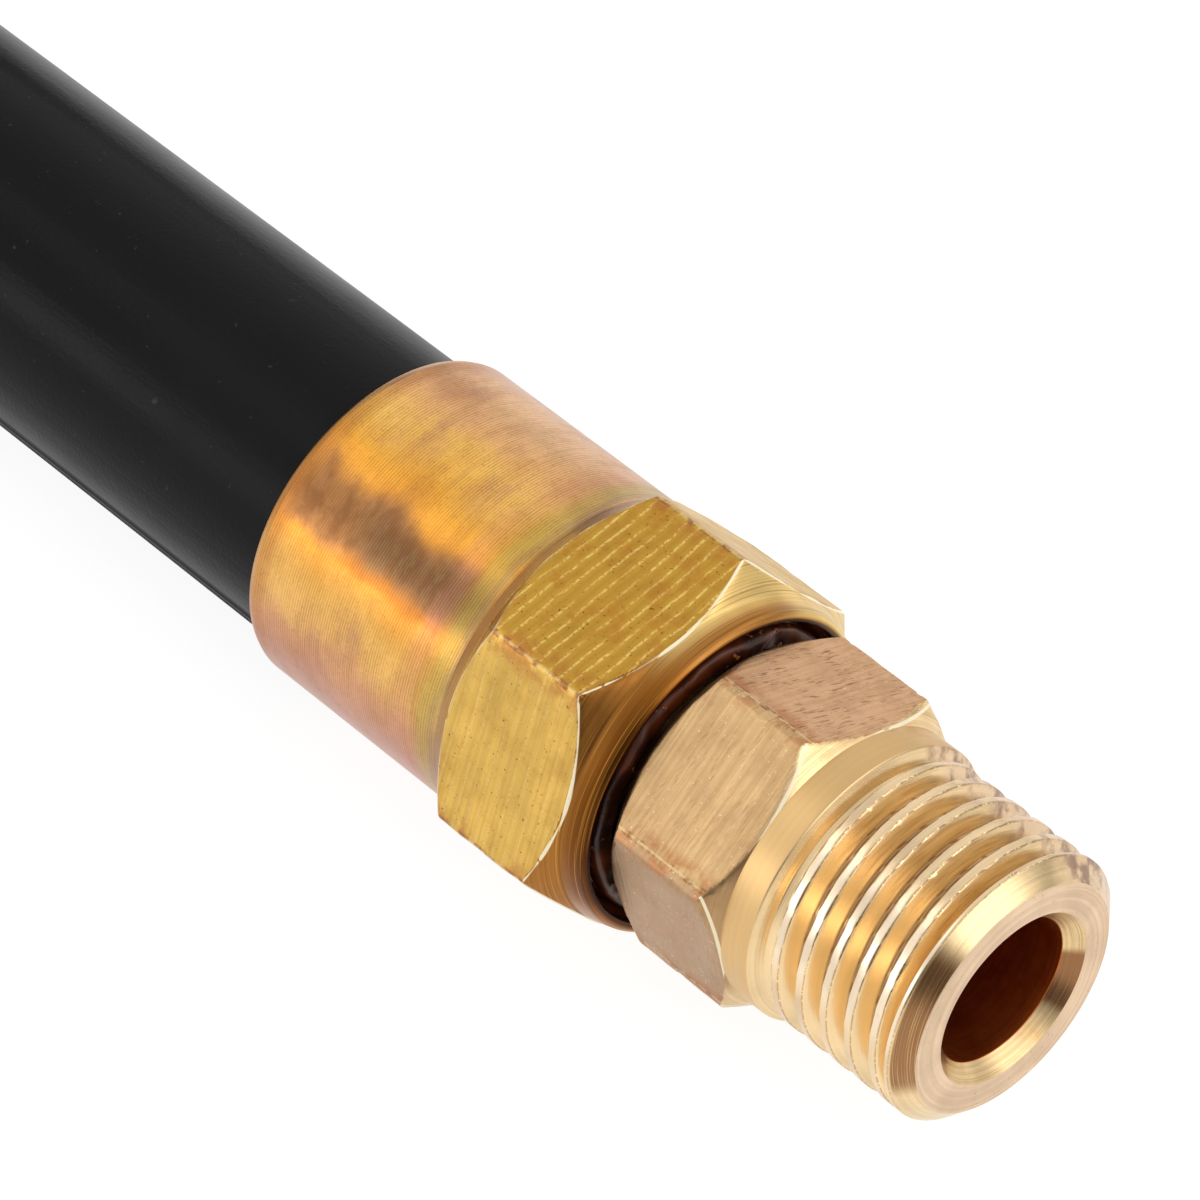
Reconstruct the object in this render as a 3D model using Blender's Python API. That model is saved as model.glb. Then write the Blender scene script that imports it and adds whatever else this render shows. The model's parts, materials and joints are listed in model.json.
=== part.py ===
"""A gas-cooled TIG torch with a screw valve, its coiled hose and the brass fitting at the hose's end.

The torch lies on its side on the table. Its head, ceramic nozzle and long back cap share one
axis along world Y, the nozzle towards -Y. The handle leaves the head at the usual 70 degrees. The
hose is wound into a two-layer coil and ends in a crimped socket that carries a male connector.
"""

import math

import bmesh
import bpy
from mathutils import Vector

MM = 0.001
GAP = 0.3 * MM  # between pieces that touch, screw or slide in each other

# --- torch head -------------------------------------------------------------------------------
HEAD_ANGLE = math.radians(70)  # between the nozzle's axis and the handle's
HEAD_R = 11.0 * MM
HEAD_LENGTH = 40.0 * MM
HEAD_CHAMFER = 1.5 * MM
CORE_R = 7.0 * MM
CORE_BORE_R = 5.3 * MM
CORE_RECESS = 0.5 * MM  # how far the metal core stays back from the moulding's ends
NECK_R = 8.2 * MM
NECK_LENGTH = 44.0 * MM  # from the head's axis to the valve body
NECK_TUBE_R = 4.0 * MM
NECK_TUBE_BORE_R = 2.4 * MM

# --- electrode, collet and nozzle -------------------------------------------------------------
ELECTRODE_R = 1.2 * MM
ELECTRODE_LENGTH = 175.0 * MM
ELECTRODE_TIP_LENGTH = 6.0 * MM
ELECTRODE_TIP_R = 0.2 * MM
ELECTRODE_REACH = 6.0 * MM  # of the tip past the nozzle
COLLET_WALL = 0.8 * MM
COLLET_LENGTH = 60.0 * MM
COLLET_SLOT_LENGTH = 16.0 * MM
COLLET_SLOT_WIDTH = 0.5 * MM
COLLET_NOSE_TAPER = 1.6 * MM
COLLET_BODY_HEAD_R = 6.3 * MM
COLLET_BODY_STEM = 16.5 * MM  # screwed into the core
COLLET_BODY_HEAD = 13.0 * MM  # the thread that the nozzle screws on
COLLET_BODY_NOSE = 12.0 * MM
COLLET_BODY_NOSE_R = 5.3 * MM
GAS_HOLE_R = 0.8 * MM
GASKET_R = 10.6 * MM
GASKET_THICKNESS = 3.0 * MM
NOZZLE_LENGTH = 46.5 * MM
NOZZLE_ROOT_R = 10.0 * MM
NOZZLE_LIP_R = 9.0 * MM
NOZZLE_BORE_R = 7.0 * MM
NOZZLE_WAIST = 14.0 * MM  # length of the thick root

# --- back cap ---------------------------------------------------------------------------------
CAP_LENGTH = 128.0 * MM
CAP_ROOT_R = 10.2 * MM
CAP_ROOT = 11.0 * MM  # length of the fluted grip at the root
CAP_BODY_R = 8.4 * MM
CAP_END_R = 6.0 * MM
CAP_STUB = 12.0 * MM  # screwed into the core
CAP_FLUTES = 12
CAP_FLUTE_DEPTH = 0.7 * MM
CAP_END_WALL = 12.0 * MM
O_RING_R = 1.25 * MM

# --- valve ------------------------------------------------------------------------------------
VALVE_BODY_R = 10.5 * MM
VALVE_BODY_LENGTH = 26.0 * MM
VALVE_SPIGOT = 12.0 * MM  # inside the handle
VALVE_SOCKET = 8.0 * MM  # depth of the tube's and the nipple's seats
VALVE_PASSAGE_R = 2.0 * MM
BOSS_R = 7.0 * MM
BOSS_HEIGHT = 17.0 * MM  # above the handle's axis
STEM_R = 2.4 * MM
STEM_TIP_LENGTH = 3.0 * MM
KNOB_R = 8.0 * MM
KNOB_HEIGHT = 11.5 * MM
KNOB_FLUTES = 10
KNOB_FLUTE_DEPTH = 0.9 * MM
KNOB_TOP = 3.0 * MM  # thickness over the stem
VALVE_RING_R = 1.0 * MM

# --- handle and the hose inside it ------------------------------------------------------------
HANDLE_R = 12.5 * MM
HANDLE_END_R = 11.5 * MM
HANDLE_LENGTH = 135.0 * MM
HANDLE_BORE_R = 9.6 * MM
HANDLE_LIP = 6.0 * MM  # inward lip round the hose
HANDLE_RIBS = 8
RIB_PITCH = 9.0 * MM
GROOVE_WIDTH = 2.8 * MM
GROOVE_DEPTH = 0.9 * MM
GROOVE_SLOPE = 0.7 * MM  # run of a groove's sloping side
RIBS_FROM_FRONT = 12.0 * MM
NIPPLE_BARB_R = 4.6 * MM
NIPPLE_BORE_R = 2.6 * MM
NIPPLE_COLLAR_R = 6.6 * MM
NIPPLE_COLLAR = 4.0 * MM
NIPPLE_TAIL = 28.0 * MM
BARBS = 3
BARB_DEPTH = 0.5 * MM
BARB_RISE = 0.7  # of a barb's length, before it falls back steeply
BARB_FALL = 0.75
FERRULE_WALL = 1.0 * MM
FERRULE_LENGTH = 24.0 * MM
CRIMP_LENGTH = 8.0 * MM
CRIMP_SLOPE = 1.2 * MM
CRIMP_DEPTH = 0.35 * MM
HOSE_INSIDE_HANDLE = 5.0 * MM  # the free hose starts this far inside the handle
CONDUCTOR_R = 2.2 * MM

# --- hose and coil ----------------------------------------------------------------------------
HOSE_R = 7.63 * MM
COIL_TURNS = 6.5
COIL_STEPS = 24  # points for each turn
COIL_MEAN_R = 87.0 * MM
COIL_PITCH = 2 * HOSE_R + 0.6 * MM
COIL_LAYER = 2 * HOSE_R + 0.5 * MM
COIL_CENTRE = Vector((-345.0, -62.5, 0.0)) * MM
COIL_BEND_SOFTNESS = 0.06  # of a turn, rounding the reversal at the innermost turn
TAIL_DIP = 0.2 * MM  # the hose sinks this near the table between coil and fitting
TIE_THICKNESS = 1.5 * MM
TIE_WIDTH = 16.0 * MM
TIE_CORNER_R = 6.0 * MM
TIE_GAP = 0.5 * MM

# --- fitting at the hose's end, its stations measured back from its mouth ----------------------
MOUTH_X = -86.0 * MM
THREAD_R = 6.85 * MM
THREAD_LENGTH = 8.4 * MM
END_FACE_R = 5.86 * MM
END_CHAMFER = 1.05 * MM
COUNTERSINK_R = 4.43 * MM
COUNTERSINK = 0.75 * MM
BORE_R = 3.72 * MM
BORE_LENGTH = 18.4 * MM
UNDERCUT_R = 6.0 * MM
UNDERCUT = 0.8 * MM
COLLAR_R = 7.15 * MM
COLLAR = 1.6 * MM
CONNECTOR_FLATS = 14.32 * MM
CONNECTOR_HEX = 7.0 * MM
CONNECTOR_BLANK_R = 8.2 * MM
CONNECTOR_TURN = math.radians(1.8)  # of its corners from the vertical, as it was tightened
CONNECTOR_NECK_R = 6.0 * MM
CONNECTOR_NECK = 10.6 * MM
CONNECTOR_TAIL = 11.0 * MM
HEX_CHAMFER_SLOPE = 0.85  # run along the axis for each step inwards
SOCKET_FLATS = 17.48 * MM
SOCKET_HEX = 7.75 * MM
SOCKET_BLANK_R = 10.02 * MM
SOCKET_LIP = 2.0 * MM  # the rolled lip stands this far past the flats
SOCKET_LIP_R = 8.0 * MM
SOCKET_BORE_R = 7.7 * MM
SOCKET_COUNTERBORE = 4.35 * MM
SOCKET_THREAD = 6.7 * MM
SKIRT_R = 8.5 * MM
SKIRT_RIM_R = 8.25 * MM
SKIRT_LENGTH = 13.45 * MM
SKIRT_FILLET = 0.7 * MM
SKIRT_WALL = 1.0 * MM
WASHER_THICKNESS = 2.1 * MM
BEAD_THICKNESS = 1.0 * MM

# --- places worked out from the sizes ---------------------------------------------------------
TORCH_Z = HANDLE_R  # the handle lies on the table
HANDLE_FRONT = -(NECK_LENGTH + VALVE_BODY_LENGTH + GAP)
HANDLE_REAR = HANDLE_FRONT - HANDLE_LENGTH
HEAD_FRONT = HEAD_LENGTH / 2
NOZZLE_BACK = HEAD_FRONT + GAP + GASKET_THICKNESS + GAP
NOZZLE_FRONT = NOZZLE_BACK + NOZZLE_LENGTH
TIP_Z = NOZZLE_FRONT + ELECTRODE_REACH
CAP_FACE = -(HEAD_FRONT + 2 * GAP + 2 * O_RING_R)
CAP_REAR = CAP_FACE - CAP_LENGTH
HANDLE_TURN = HEAD_ANGLE - math.pi / 2  # of the handle's axis from world +X
REAR_REACH = -HANDLE_REAR * math.cos(HANDLE_TURN) + HANDLE_END_R * abs(math.sin(HANDLE_TURN))
HEAD_X = (REAR_REACH - HEAD_R) / 2  # centres the torch's footprint on the origin
HEAD_Y = (TIP_Z + CAP_REAR) / 2
COIL_BASE = TIE_THICKNESS + TIE_GAP
LOWER_Z = COIL_BASE + HOSE_R
UPPER_Z = LOWER_Z + COIL_LAYER
HALF_TURNS = COIL_TURNS / 2
COIL_INNER_R = COIL_MEAN_R - COIL_PITCH * HALF_TURNS / 2
MOUTH_Z = SOCKET_FLATS / 2  # the socket rests on a flat

CONNECTOR_FRONT = -(THREAD_LENGTH + UNDERCUT + COLLAR)
CONNECTOR_BACK = CONNECTOR_FRONT - CONNECTOR_HEX
SOCKET_FRONT = CONNECTOR_BACK + GAP - SOCKET_LIP
SOCKET_BACK = SOCKET_FRONT - SOCKET_HEX
SKIRT_REAR = SOCKET_BACK - SKIRT_LENGTH
SOCKET_STEP = SOCKET_FRONT + SOCKET_LIP - SOCKET_COUNTERBORE
SKIRT_STEP = SOCKET_STEP - SOCKET_THREAD


# --- making things ----------------------------------------------------------------------------
def clear_scene():
    for obj in list(bpy.data.objects):
        bpy.data.objects.remove(obj, do_unlink=True)


def finish(name, colour, roughness, metallic=0.0):
    """A plain Principled material in the piece's own colour."""
    made = bpy.data.materials.new(name)
    made.use_nodes = True
    shader = made.node_tree.nodes["Principled BSDF"]
    shader.inputs["Base Color"].default_value = (*colour, 1.0)
    shader.inputs["Roughness"].default_value = roughness
    shader.inputs["Metallic"].default_value = metallic
    return made


def axis_frame(name, location, rotation, parent=None):
    """An empty whose local Z is the axis that its pieces are turned about."""
    frame = bpy.data.objects.new(name, None)
    frame.location = location
    frame.rotation_euler = rotation
    frame.parent = parent
    bpy.context.scene.collection.objects.link(frame)
    return frame


def piece(name, mesh, parent, look, smooth=True):
    """Links a mesh as a named piece."""
    made = bpy.data.objects.new(name, mesh)
    made.parent = parent
    if look:
        mesh.materials.append(look)
    if smooth:
        mesh.shade_smooth()
        mesh.set_sharp_from_angle(angle=math.radians(28))
    bpy.context.scene.collection.objects.link(made)
    return made


def hide(tool):
    """Marks a cutter, which isn't part of the torch."""
    tool.hide_render = True
    tool.display_type = "WIRE"
    return tool


def turned(name, outline, parent, look, steps=32, flutes=None):
    """Turns an outline of (radius, height) points about the local Z axis.

    An outline that starts on the axis makes a solid piece, any other closes on itself as a bored
    one. Flutes are (count, depth, lowest height, highest height, least radius).
    """
    mesh = bpy.data.meshes.new(name)
    shape = bmesh.new()
    rim = [shape.verts.new((radius, 0.0, height)) for radius, height in outline]
    edges = [shape.edges.new(pair) for pair in zip(rim, rim[1:])]
    if outline[0][0] > 0:
        edges.append(shape.edges.new((rim[-1], rim[0])))
    bmesh.ops.spin(
        shape,
        geom=rim + edges,
        axis=(0, 0, 1),
        cent=(0, 0, 0),
        angle=math.tau,
        steps=steps,
        use_merge=True,
    )
    bmesh.ops.remove_doubles(shape, verts=shape.verts, dist=1e-7)
    bmesh.ops.recalc_face_normals(shape, faces=shape.faces)
    if flutes:
        count, depth, low, high, least = flutes
        for vert in shape.verts:
            radius = math.hypot(vert.co.x, vert.co.y)
            if low < vert.co.z < high and radius > least:
                angle = math.atan2(vert.co.y, vert.co.x)
                cut = depth * (0.5 - 0.5 * math.cos(count * angle))
                vert.co.x *= (radius - cut) / radius
                vert.co.y *= (radius - cut) / radius
    shape.to_mesh(mesh)
    shape.free()
    return piece(name, mesh, parent, look)


def rod(name, radius, low, high, parent, steps=24):
    """A plain cylinder used as a cutter, or joined to another piece."""
    outline = [(0, low), (radius, low), (radius, high), (0, high)]
    return hide(turned(name, outline, parent, None, steps))


def combine(target, tool, operation="DIFFERENCE"):
    change = target.modifiers.new(tool.name, "BOOLEAN")
    change.operation = operation
    change.solver = "EXACT"
    change.object = tool


def hex_ring(name, flats, reach, low, high, phase, parent):
    """A thick ring with a hexagonal hole, which mills six flats on what it is cut from."""
    shape = bmesh.new()
    rings = []
    for radius in (flats / math.sqrt(3), reach):
        for height in (low, high):
            turns = [phase + math.tau * corner / 6 for corner in range(6)]
            rings.append(
                [shape.verts.new((radius * math.cos(a), radius * math.sin(a), height)) for a in turns]
            )
    inner_low, inner_high, outer_low, outer_high = rings
    for one, other in (
        (inner_low, inner_high),
        (inner_high, outer_high),
        (outer_high, outer_low),
        (outer_low, inner_low),
    ):
        for corner in range(6):
            after = (corner + 1) % 6
            shape.faces.new((one[corner], one[after], other[after], other[corner]))
    bmesh.ops.recalc_face_normals(shape, faces=shape.faces)
    mesh = bpy.data.meshes.new(name)
    shape.to_mesh(mesh)
    shape.free()
    return hide(piece(name, mesh, parent, None, smooth=False))


def ring(name, centre_r, wire_r, height, parent, look):
    """An O-ring."""
    sides = 6
    outline = [
        (
            centre_r + wire_r * math.cos(math.tau * side / sides),
            height + wire_r * math.sin(math.tau * side / sides),
        )
        for side in range(sides)
    ]
    return turned(name, outline, parent, look, steps=28)


def smooth_route(knots, spacing):
    """Points on a Catmull-Rom curve through the knots, about this far apart."""
    knots = [Vector(knot) for knot in knots]
    ends = [2 * knots[0] - knots[1]] + knots + [2 * knots[-1] - knots[-2]]
    points = []
    for before, start, stop, after in zip(ends, ends[1:], ends[2:], ends[3:]):
        count = max(1, round((stop - start).length / spacing))
        for step in range(count):
            t = step / count
            points.append(
                0.5
                * (
                    2 * start
                    + (stop - before) * t
                    + (2 * before - 5 * start + 4 * stop - after) * t * t
                    + (3 * start - before - 3 * stop + after) * t**3
                )
            )
    return points + [knots[-1]]


def tube(name, points, radius, look, roundness):
    """A hose along the points, with closed ends."""
    curve = bpy.data.curves.new(name, "CURVE")
    curve.dimensions = "3D"
    curve.bevel_depth = radius
    curve.bevel_resolution = roundness
    curve.use_fill_caps = True
    curve.twist_mode = "Z_UP"
    curve.materials.append(look)
    spline = curve.splines.new("POLY")
    spline.points.add(len(points) - 1)
    for spot, point in zip(spline.points, points):
        spot.co = (*point, 1.0)
        spot.radius = 1.0
    made = bpy.data.objects.new(name, curve)
    bpy.context.scene.collection.objects.link(made)
    return made


def route_length(points):
    return sum((b - a).length for a, b in zip(points, points[1:]))


def rounded_loop(low, high, corner_r, arc=4):
    """A rectangle with round corners, as (x, z) points."""
    points = []
    for turn, x, z in (
        (0, high[0], high[1]),
        (1, low[0], high[1]),
        (2, low[0], low[1]),
        (3, high[0], low[1]),
    ):
        centre_x = x - corner_r if x == high[0] else x + corner_r
        centre_z = z - corner_r if z == high[1] else z + corner_r
        for step in range(arc + 1):
            angle = math.pi / 2 * (turn + step / arc)
            points.append(
                (centre_x + corner_r * math.cos(angle), centre_z + corner_r * math.sin(angle))
            )
    return points


# --- the pieces -------------------------------------------------------------------------------
def make_head(axis, handle_axis, looks):
    """The moulded head with its neck, the metal core and the tube that feeds it."""
    bevel_end = HEAD_R - HEAD_CHAMFER
    head = turned(
        "torch_head",
        [
            (0, -HEAD_FRONT),
            (bevel_end, -HEAD_FRONT),
            (HEAD_R, HEAD_CHAMFER - HEAD_FRONT),
            (HEAD_R, HEAD_FRONT - HEAD_CHAMFER),
            (bevel_end, HEAD_FRONT),
            (0, HEAD_FRONT),
        ],
        axis,
        looks["phenolic"],
    )
    collar_low = -NECK_LENGTH + GAP
    neck = hide(
        turned(
            "neck_form",
            [
                (0, collar_low),
                (VALVE_BODY_R - HEAD_CHAMFER / 2, collar_low),
                (VALVE_BODY_R, collar_low + HEAD_CHAMFER),
                (VALVE_BODY_R, collar_low + 3 * HEAD_CHAMFER),
                (NECK_R, collar_low + 5 * HEAD_CHAMFER),
                (NECK_R, 0),
                (0, 0),
            ],
            handle_axis,
            None,
        )
    )
    combine(head, neck, "UNION")
    combine(head, rod("core_bore", CORE_R + GAP, -HEAD_LENGTH, HEAD_LENGTH, axis))
    tube_r = NECK_TUBE_R + GAP
    combine(head, rod("neck_tube_bore", tube_r, -NECK_LENGTH - HEAD_R, 0, handle_axis))
    core_end = HEAD_FRONT - CORE_RECESS
    turned(
        "head_core",
        [(CORE_BORE_R, -core_end), (CORE_R, -core_end), (CORE_R, core_end), (CORE_BORE_R, core_end)],
        axis,
        looks["brass"],
    )
    tube_low = -NECK_LENGTH - VALVE_SOCKET + GAP
    feed = turned(
        "neck_tube",
        [
            (NECK_TUBE_BORE_R, tube_low),
            (NECK_TUBE_R, tube_low),
            (NECK_TUBE_R, 0),
            (NECK_TUBE_BORE_R, 0),
        ],
        handle_axis,
        looks["copper"],
        steps=24,
    )
    # The tube's end is coped to the round of the core that it is brazed to.
    combine(feed, rod("core_room", CORE_R + GAP, -HEAD_LENGTH, HEAD_LENGTH, axis, steps=32))


def make_collet(axis, looks):
    """The collet body that screws into the core, and the split collet that grips the electrode."""
    seat = HEAD_FRONT - CORE_RECESS + GAP  # its shoulder seats on the core
    stem_r = CORE_BORE_R - GAP
    collet_bore = ELECTRODE_R + GAP
    collet_r = collet_bore + COLLET_WALL
    bore = collet_r + GAP
    nose_front = seat + COLLET_BODY_HEAD + COLLET_BODY_NOSE
    taper_front = nose_front - COLLET_NOSE_TAPER
    taper_back = taper_front - (bore - collet_bore)
    body = turned(
        "collet_body",
        [
            (bore, seat - COLLET_BODY_STEM),
            (stem_r, seat - COLLET_BODY_STEM),
            (stem_r, seat),
            (COLLET_BODY_HEAD_R, seat),
            (COLLET_BODY_HEAD_R, seat + COLLET_BODY_HEAD),
            (COLLET_BODY_NOSE_R, seat + COLLET_BODY_HEAD + (COLLET_BODY_HEAD_R - COLLET_BODY_NOSE_R)),
            (COLLET_BODY_NOSE_R, taper_front),
            (collet_bore + COLLET_NOSE_TAPER, nose_front),
            (collet_bore, nose_front),
            (collet_bore, taper_front),
            (bore, taper_back),
        ],
        axis,
        looks["copper"],
        steps=28,
    )
    holes = axis_frame("gas_hole_frame", (0, 0, taper_back - 3 * GAS_HOLE_R), (math.pi / 2, 0, 0), axis)
    across = axis_frame("gas_hole_cross", (0, 0, 0), (0, math.pi / 2, 0), holes)
    reach = 2 * COLLET_BODY_NOSE_R
    combine(body, rod("gas_holes_a", GAS_HOLE_R, -reach, reach, holes, steps=10))
    combine(body, rod("gas_holes_b", GAS_HOLE_R, -reach, reach, across, steps=10))

    front = taper_front - GAP
    back = front - COLLET_LENGTH
    collet = turned(
        "collet",
        [
            (collet_bore, back),
            (collet_r, back),
            (collet_r, front - (collet_r - collet_bore)),
            (collet_bore + GAP, front),
            (collet_bore, front),
        ],
        axis,
        looks["copper"],
        steps=20,
    )
    for name, size in (
        ("slot_a", (2 * bore, COLLET_SLOT_WIDTH / 2)),
        ("slot_b", (COLLET_SLOT_WIDTH / 2, 2 * bore)),
    ):
        shape = bmesh.new()
        bmesh.ops.create_cube(shape, size=2.0)
        for vert in shape.verts:
            vert.co.x *= size[0]
            vert.co.y *= size[1]
            vert.co.z = front + (vert.co.z - 1) * COLLET_SLOT_LENGTH / 2 + GAP
        mesh = bpy.data.meshes.new(name)
        shape.to_mesh(mesh)
        shape.free()
        combine(collet, hide(piece(name, mesh, axis, None, smooth=False)))
    return back


def make_nozzle(axis, looks):
    """The insulating gasket and the ceramic nozzle that clamps it to the head."""
    inner = COLLET_BODY_HEAD_R + GAP
    gasket_low = HEAD_FRONT + GAP
    gasket_high = gasket_low + GASKET_THICKNESS
    turned(
        "cup_gasket",
        [(inner, gasket_low), (GASKET_R, gasket_low), (GASKET_R, gasket_high), (inner, gasket_high)],
        axis,
        looks["ptfe"],
        steps=28,
    )
    waist = NOZZLE_BACK + NOZZLE_WAIST
    thread_end = NOZZLE_BACK + COLLET_BODY_HEAD - GASKET_THICKNESS
    edge = (NOZZLE_LIP_R - NOZZLE_BORE_R) / 4
    turned(
        "ceramic_nozzle",
        [
            (inner, NOZZLE_BACK),
            (NOZZLE_ROOT_R - edge, NOZZLE_BACK),
            (NOZZLE_ROOT_R, NOZZLE_BACK + edge),
            (NOZZLE_ROOT_R, waist),
            (NOZZLE_LIP_R, waist + 3 * (NOZZLE_ROOT_R - NOZZLE_LIP_R)),
            (NOZZLE_LIP_R, NOZZLE_FRONT - edge),
            (NOZZLE_LIP_R - edge, NOZZLE_FRONT),
            (NOZZLE_BORE_R + edge, NOZZLE_FRONT),
            (NOZZLE_BORE_R, NOZZLE_FRONT - edge),
            (NOZZLE_BORE_R, thread_end + edge),
            (inner, thread_end),
        ],
        axis,
        looks["alumina"],
        steps=32,
    )


def make_electrode(axis, looks):
    turned(
        "tungsten_electrode",
        [
            (0, TIP_Z - ELECTRODE_LENGTH),
            (ELECTRODE_R, TIP_Z - ELECTRODE_LENGTH),
            (ELECTRODE_R, TIP_Z - ELECTRODE_TIP_LENGTH),
            (ELECTRODE_TIP_R, TIP_Z),
            (0, TIP_Z),
        ],
        axis,
        looks["tungsten"],
        steps=16,
    )


def make_cap(axis, collet_back, looks):
    """The long back cap, whose stub pushes the collet forward, and the ring that seals it."""
    stub_r = CORE_BORE_R - GAP
    neck_r = CORE_R
    collet_room = ELECTRODE_R + GAP + COLLET_WALL + GAP
    electrode_room = ELECTRODE_R + 2 * GAP
    shoulder = collet_back - GAP
    stub_front = -HEAD_FRONT + CAP_STUB
    grip_low = CAP_FACE - CAP_ROOT
    rounding = CAP_END_R / 3
    turned(
        "back_cap",
        [
            (0, CAP_REAR),
            (CAP_END_R - rounding, CAP_REAR),
            (CAP_END_R, CAP_REAR + rounding),
            (CAP_BODY_R, grip_low - CAP_ROOT),
            (CAP_BODY_R, grip_low - HEAD_CHAMFER),
            (CAP_ROOT_R, grip_low),
            (CAP_ROOT_R, CAP_FACE - HEAD_CHAMFER / 2),
            (CAP_ROOT_R - HEAD_CHAMFER / 2, CAP_FACE),
            (neck_r, CAP_FACE),
            (neck_r, -HEAD_FRONT - GAP),
            (stub_r, -HEAD_FRONT - GAP),
            (stub_r, stub_front),
            (collet_room, stub_front),
            (collet_room, shoulder),
            (electrode_room, shoulder),
            (electrode_room, CAP_REAR + CAP_END_WALL),
            (0, CAP_REAR + CAP_END_WALL),
        ],
        axis,
        looks["phenolic"],
        steps=36,
        flutes=(CAP_FLUTES, CAP_FLUTE_DEPTH, grip_low - GAP, CAP_FACE + GAP, CAP_BODY_R),
    )
    ring(
        "back_cap_o_ring",
        neck_r + GAP + O_RING_R,
        O_RING_R,
        CAP_FACE + GAP + O_RING_R,
        axis,
        looks["seal_rubber"],
    )


def make_valve(handle_axis, looks):
    """The valve body between neck and handle, with its stem, ring and fluted knob."""
    front = -NECK_LENGTH
    shoulder = front - VALVE_BODY_LENGTH
    rear = shoulder - VALVE_SPIGOT
    spigot_r = HANDLE_BORE_R - GAP
    edge = HEAD_CHAMFER / 2
    body = turned(
        "valve_body",
        [
            (0, rear),
            (spigot_r, rear),
            (spigot_r, shoulder),
            (VALVE_BODY_R - edge, shoulder),
            (VALVE_BODY_R, shoulder + edge),
            (VALVE_BODY_R, front - edge),
            (VALVE_BODY_R - edge, front),
            (0, front),
        ],
        handle_axis,
        looks["phenolic"],
    )
    middle = (front + shoulder) / 2
    boss_axis = axis_frame("valve_axis", (0, 0, middle), (-math.pi / 2, 0, 0), handle_axis)
    boss = hide(
        turned(
            "boss_form",
            [
                (0, 0),
                (BOSS_R, 0),
                (BOSS_R, BOSS_HEIGHT - edge),
                (BOSS_R - edge, BOSS_HEIGHT),
                (0, BOSS_HEIGHT),
            ],
            boss_axis,
            None,
        )
    )
    combine(body, boss, "UNION")
    combine(body, rod("tube_seat", NECK_TUBE_R + GAP, front - VALVE_SOCKET, front + GAP, handle_axis))
    nipple_seat = rod("nipple_seat", NIPPLE_BARB_R + GAP, rear - GAP, rear + VALVE_SOCKET, handle_axis)
    combine(body, nipple_seat)
    combine(body, rod("passage", VALVE_PASSAGE_R, rear, front, handle_axis, steps=12))
    # Screwed down, the stem's cone reaches across the gas passage and closes it.
    bore_low = -VALVE_PASSAGE_R
    stem_low = bore_low + GAP
    combine(body, rod("stem_bore", STEM_R + GAP, bore_low, BOSS_HEIGHT + GAP, boss_axis, steps=20))

    knob_low = BOSS_HEIGHT + 2 * GAP + 2 * VALVE_RING_R
    stem_top = knob_low + KNOB_HEIGHT - KNOB_TOP - GAP
    turned(
        "valve_stem",
        [
            (0, stem_low),
            (STEM_R / 3, stem_low),
            (STEM_R, stem_low + STEM_TIP_LENGTH),
            (STEM_R, stem_top),
            (0, stem_top),
        ],
        boss_axis,
        looks["brass"],
        steps=20,
    )
    ring(
        "valve_o_ring",
        STEM_R + 2 * GAP + VALVE_RING_R,
        VALVE_RING_R,
        BOSS_HEIGHT + GAP + VALVE_RING_R,
        boss_axis,
        looks["seal_rubber"],
    )
    knob_high = knob_low + KNOB_HEIGHT
    turned(
        "valve_knob",
        [
            (STEM_R + GAP, knob_low),
            (KNOB_R - edge, knob_low),
            (KNOB_R, knob_low + edge),
            (KNOB_R, knob_high - edge),
            (KNOB_R - edge, knob_high),
            (STEM_R, knob_high),
            (STEM_R - GAP, knob_high - edge),
            (0, knob_high - edge),
            (0, stem_top + GAP),
            (STEM_R + GAP, stem_top + GAP),
        ],
        boss_axis,
        looks["knob_plastic"],
        steps=40,
        flutes=(KNOB_FLUTES, KNOB_FLUTE_DEPTH, knob_low + GAP, knob_high - edge + GAP, KNOB_R - GAP),
    )
    return rear


def make_handle(handle_axis, looks):
    """The ribbed handle, which slides over the valve body's spigot."""
    front = HANDLE_FRONT
    rear = HANDLE_REAR
    edge = HANDLE_R - HANDLE_END_R
    outline = [(HANDLE_END_R, rear), (HANDLE_R, rear + edge)]
    for rib in reversed(range(HANDLE_RIBS)):
        groove = front - RIBS_FROM_FRONT - rib * RIB_PITCH
        outline += [
            (HANDLE_R, groove - GROOVE_WIDTH / 2),
            (HANDLE_R - GROOVE_DEPTH, groove - GROOVE_WIDTH / 2 + GROOVE_SLOPE),
            (HANDLE_R - GROOVE_DEPTH, groove + GROOVE_WIDTH / 2 - GROOVE_SLOPE),
            (HANDLE_R, groove + GROOVE_WIDTH / 2),
        ]
    lip_r = HOSE_R + 2 * GAP
    outline += [
        (HANDLE_R, front - edge),
        (HANDLE_END_R, front),
        (HANDLE_BORE_R, front),
        (HANDLE_BORE_R, rear + HANDLE_LIP + (HANDLE_BORE_R - lip_r)),
        (lip_r, rear + HANDLE_LIP),
        (lip_r, rear),
    ]
    turned("handle", outline, handle_axis, looks["handle_plastic"], steps=28)


def barbed(barb_r, start, stop):
    """Outline points of a barbed tail from its outer end at start to its root at stop."""
    step = (stop - start) / BARBS
    points = []
    for barb in range(BARBS):
        low = start + barb * step
        points += [(barb_r - BARB_DEPTH, low), (barb_r, low + BARB_RISE * step)]
        points += [(barb_r - BARB_DEPTH, low + BARB_FALL * step)]
    return points + [(barb_r - BARB_DEPTH, stop)]


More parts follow.
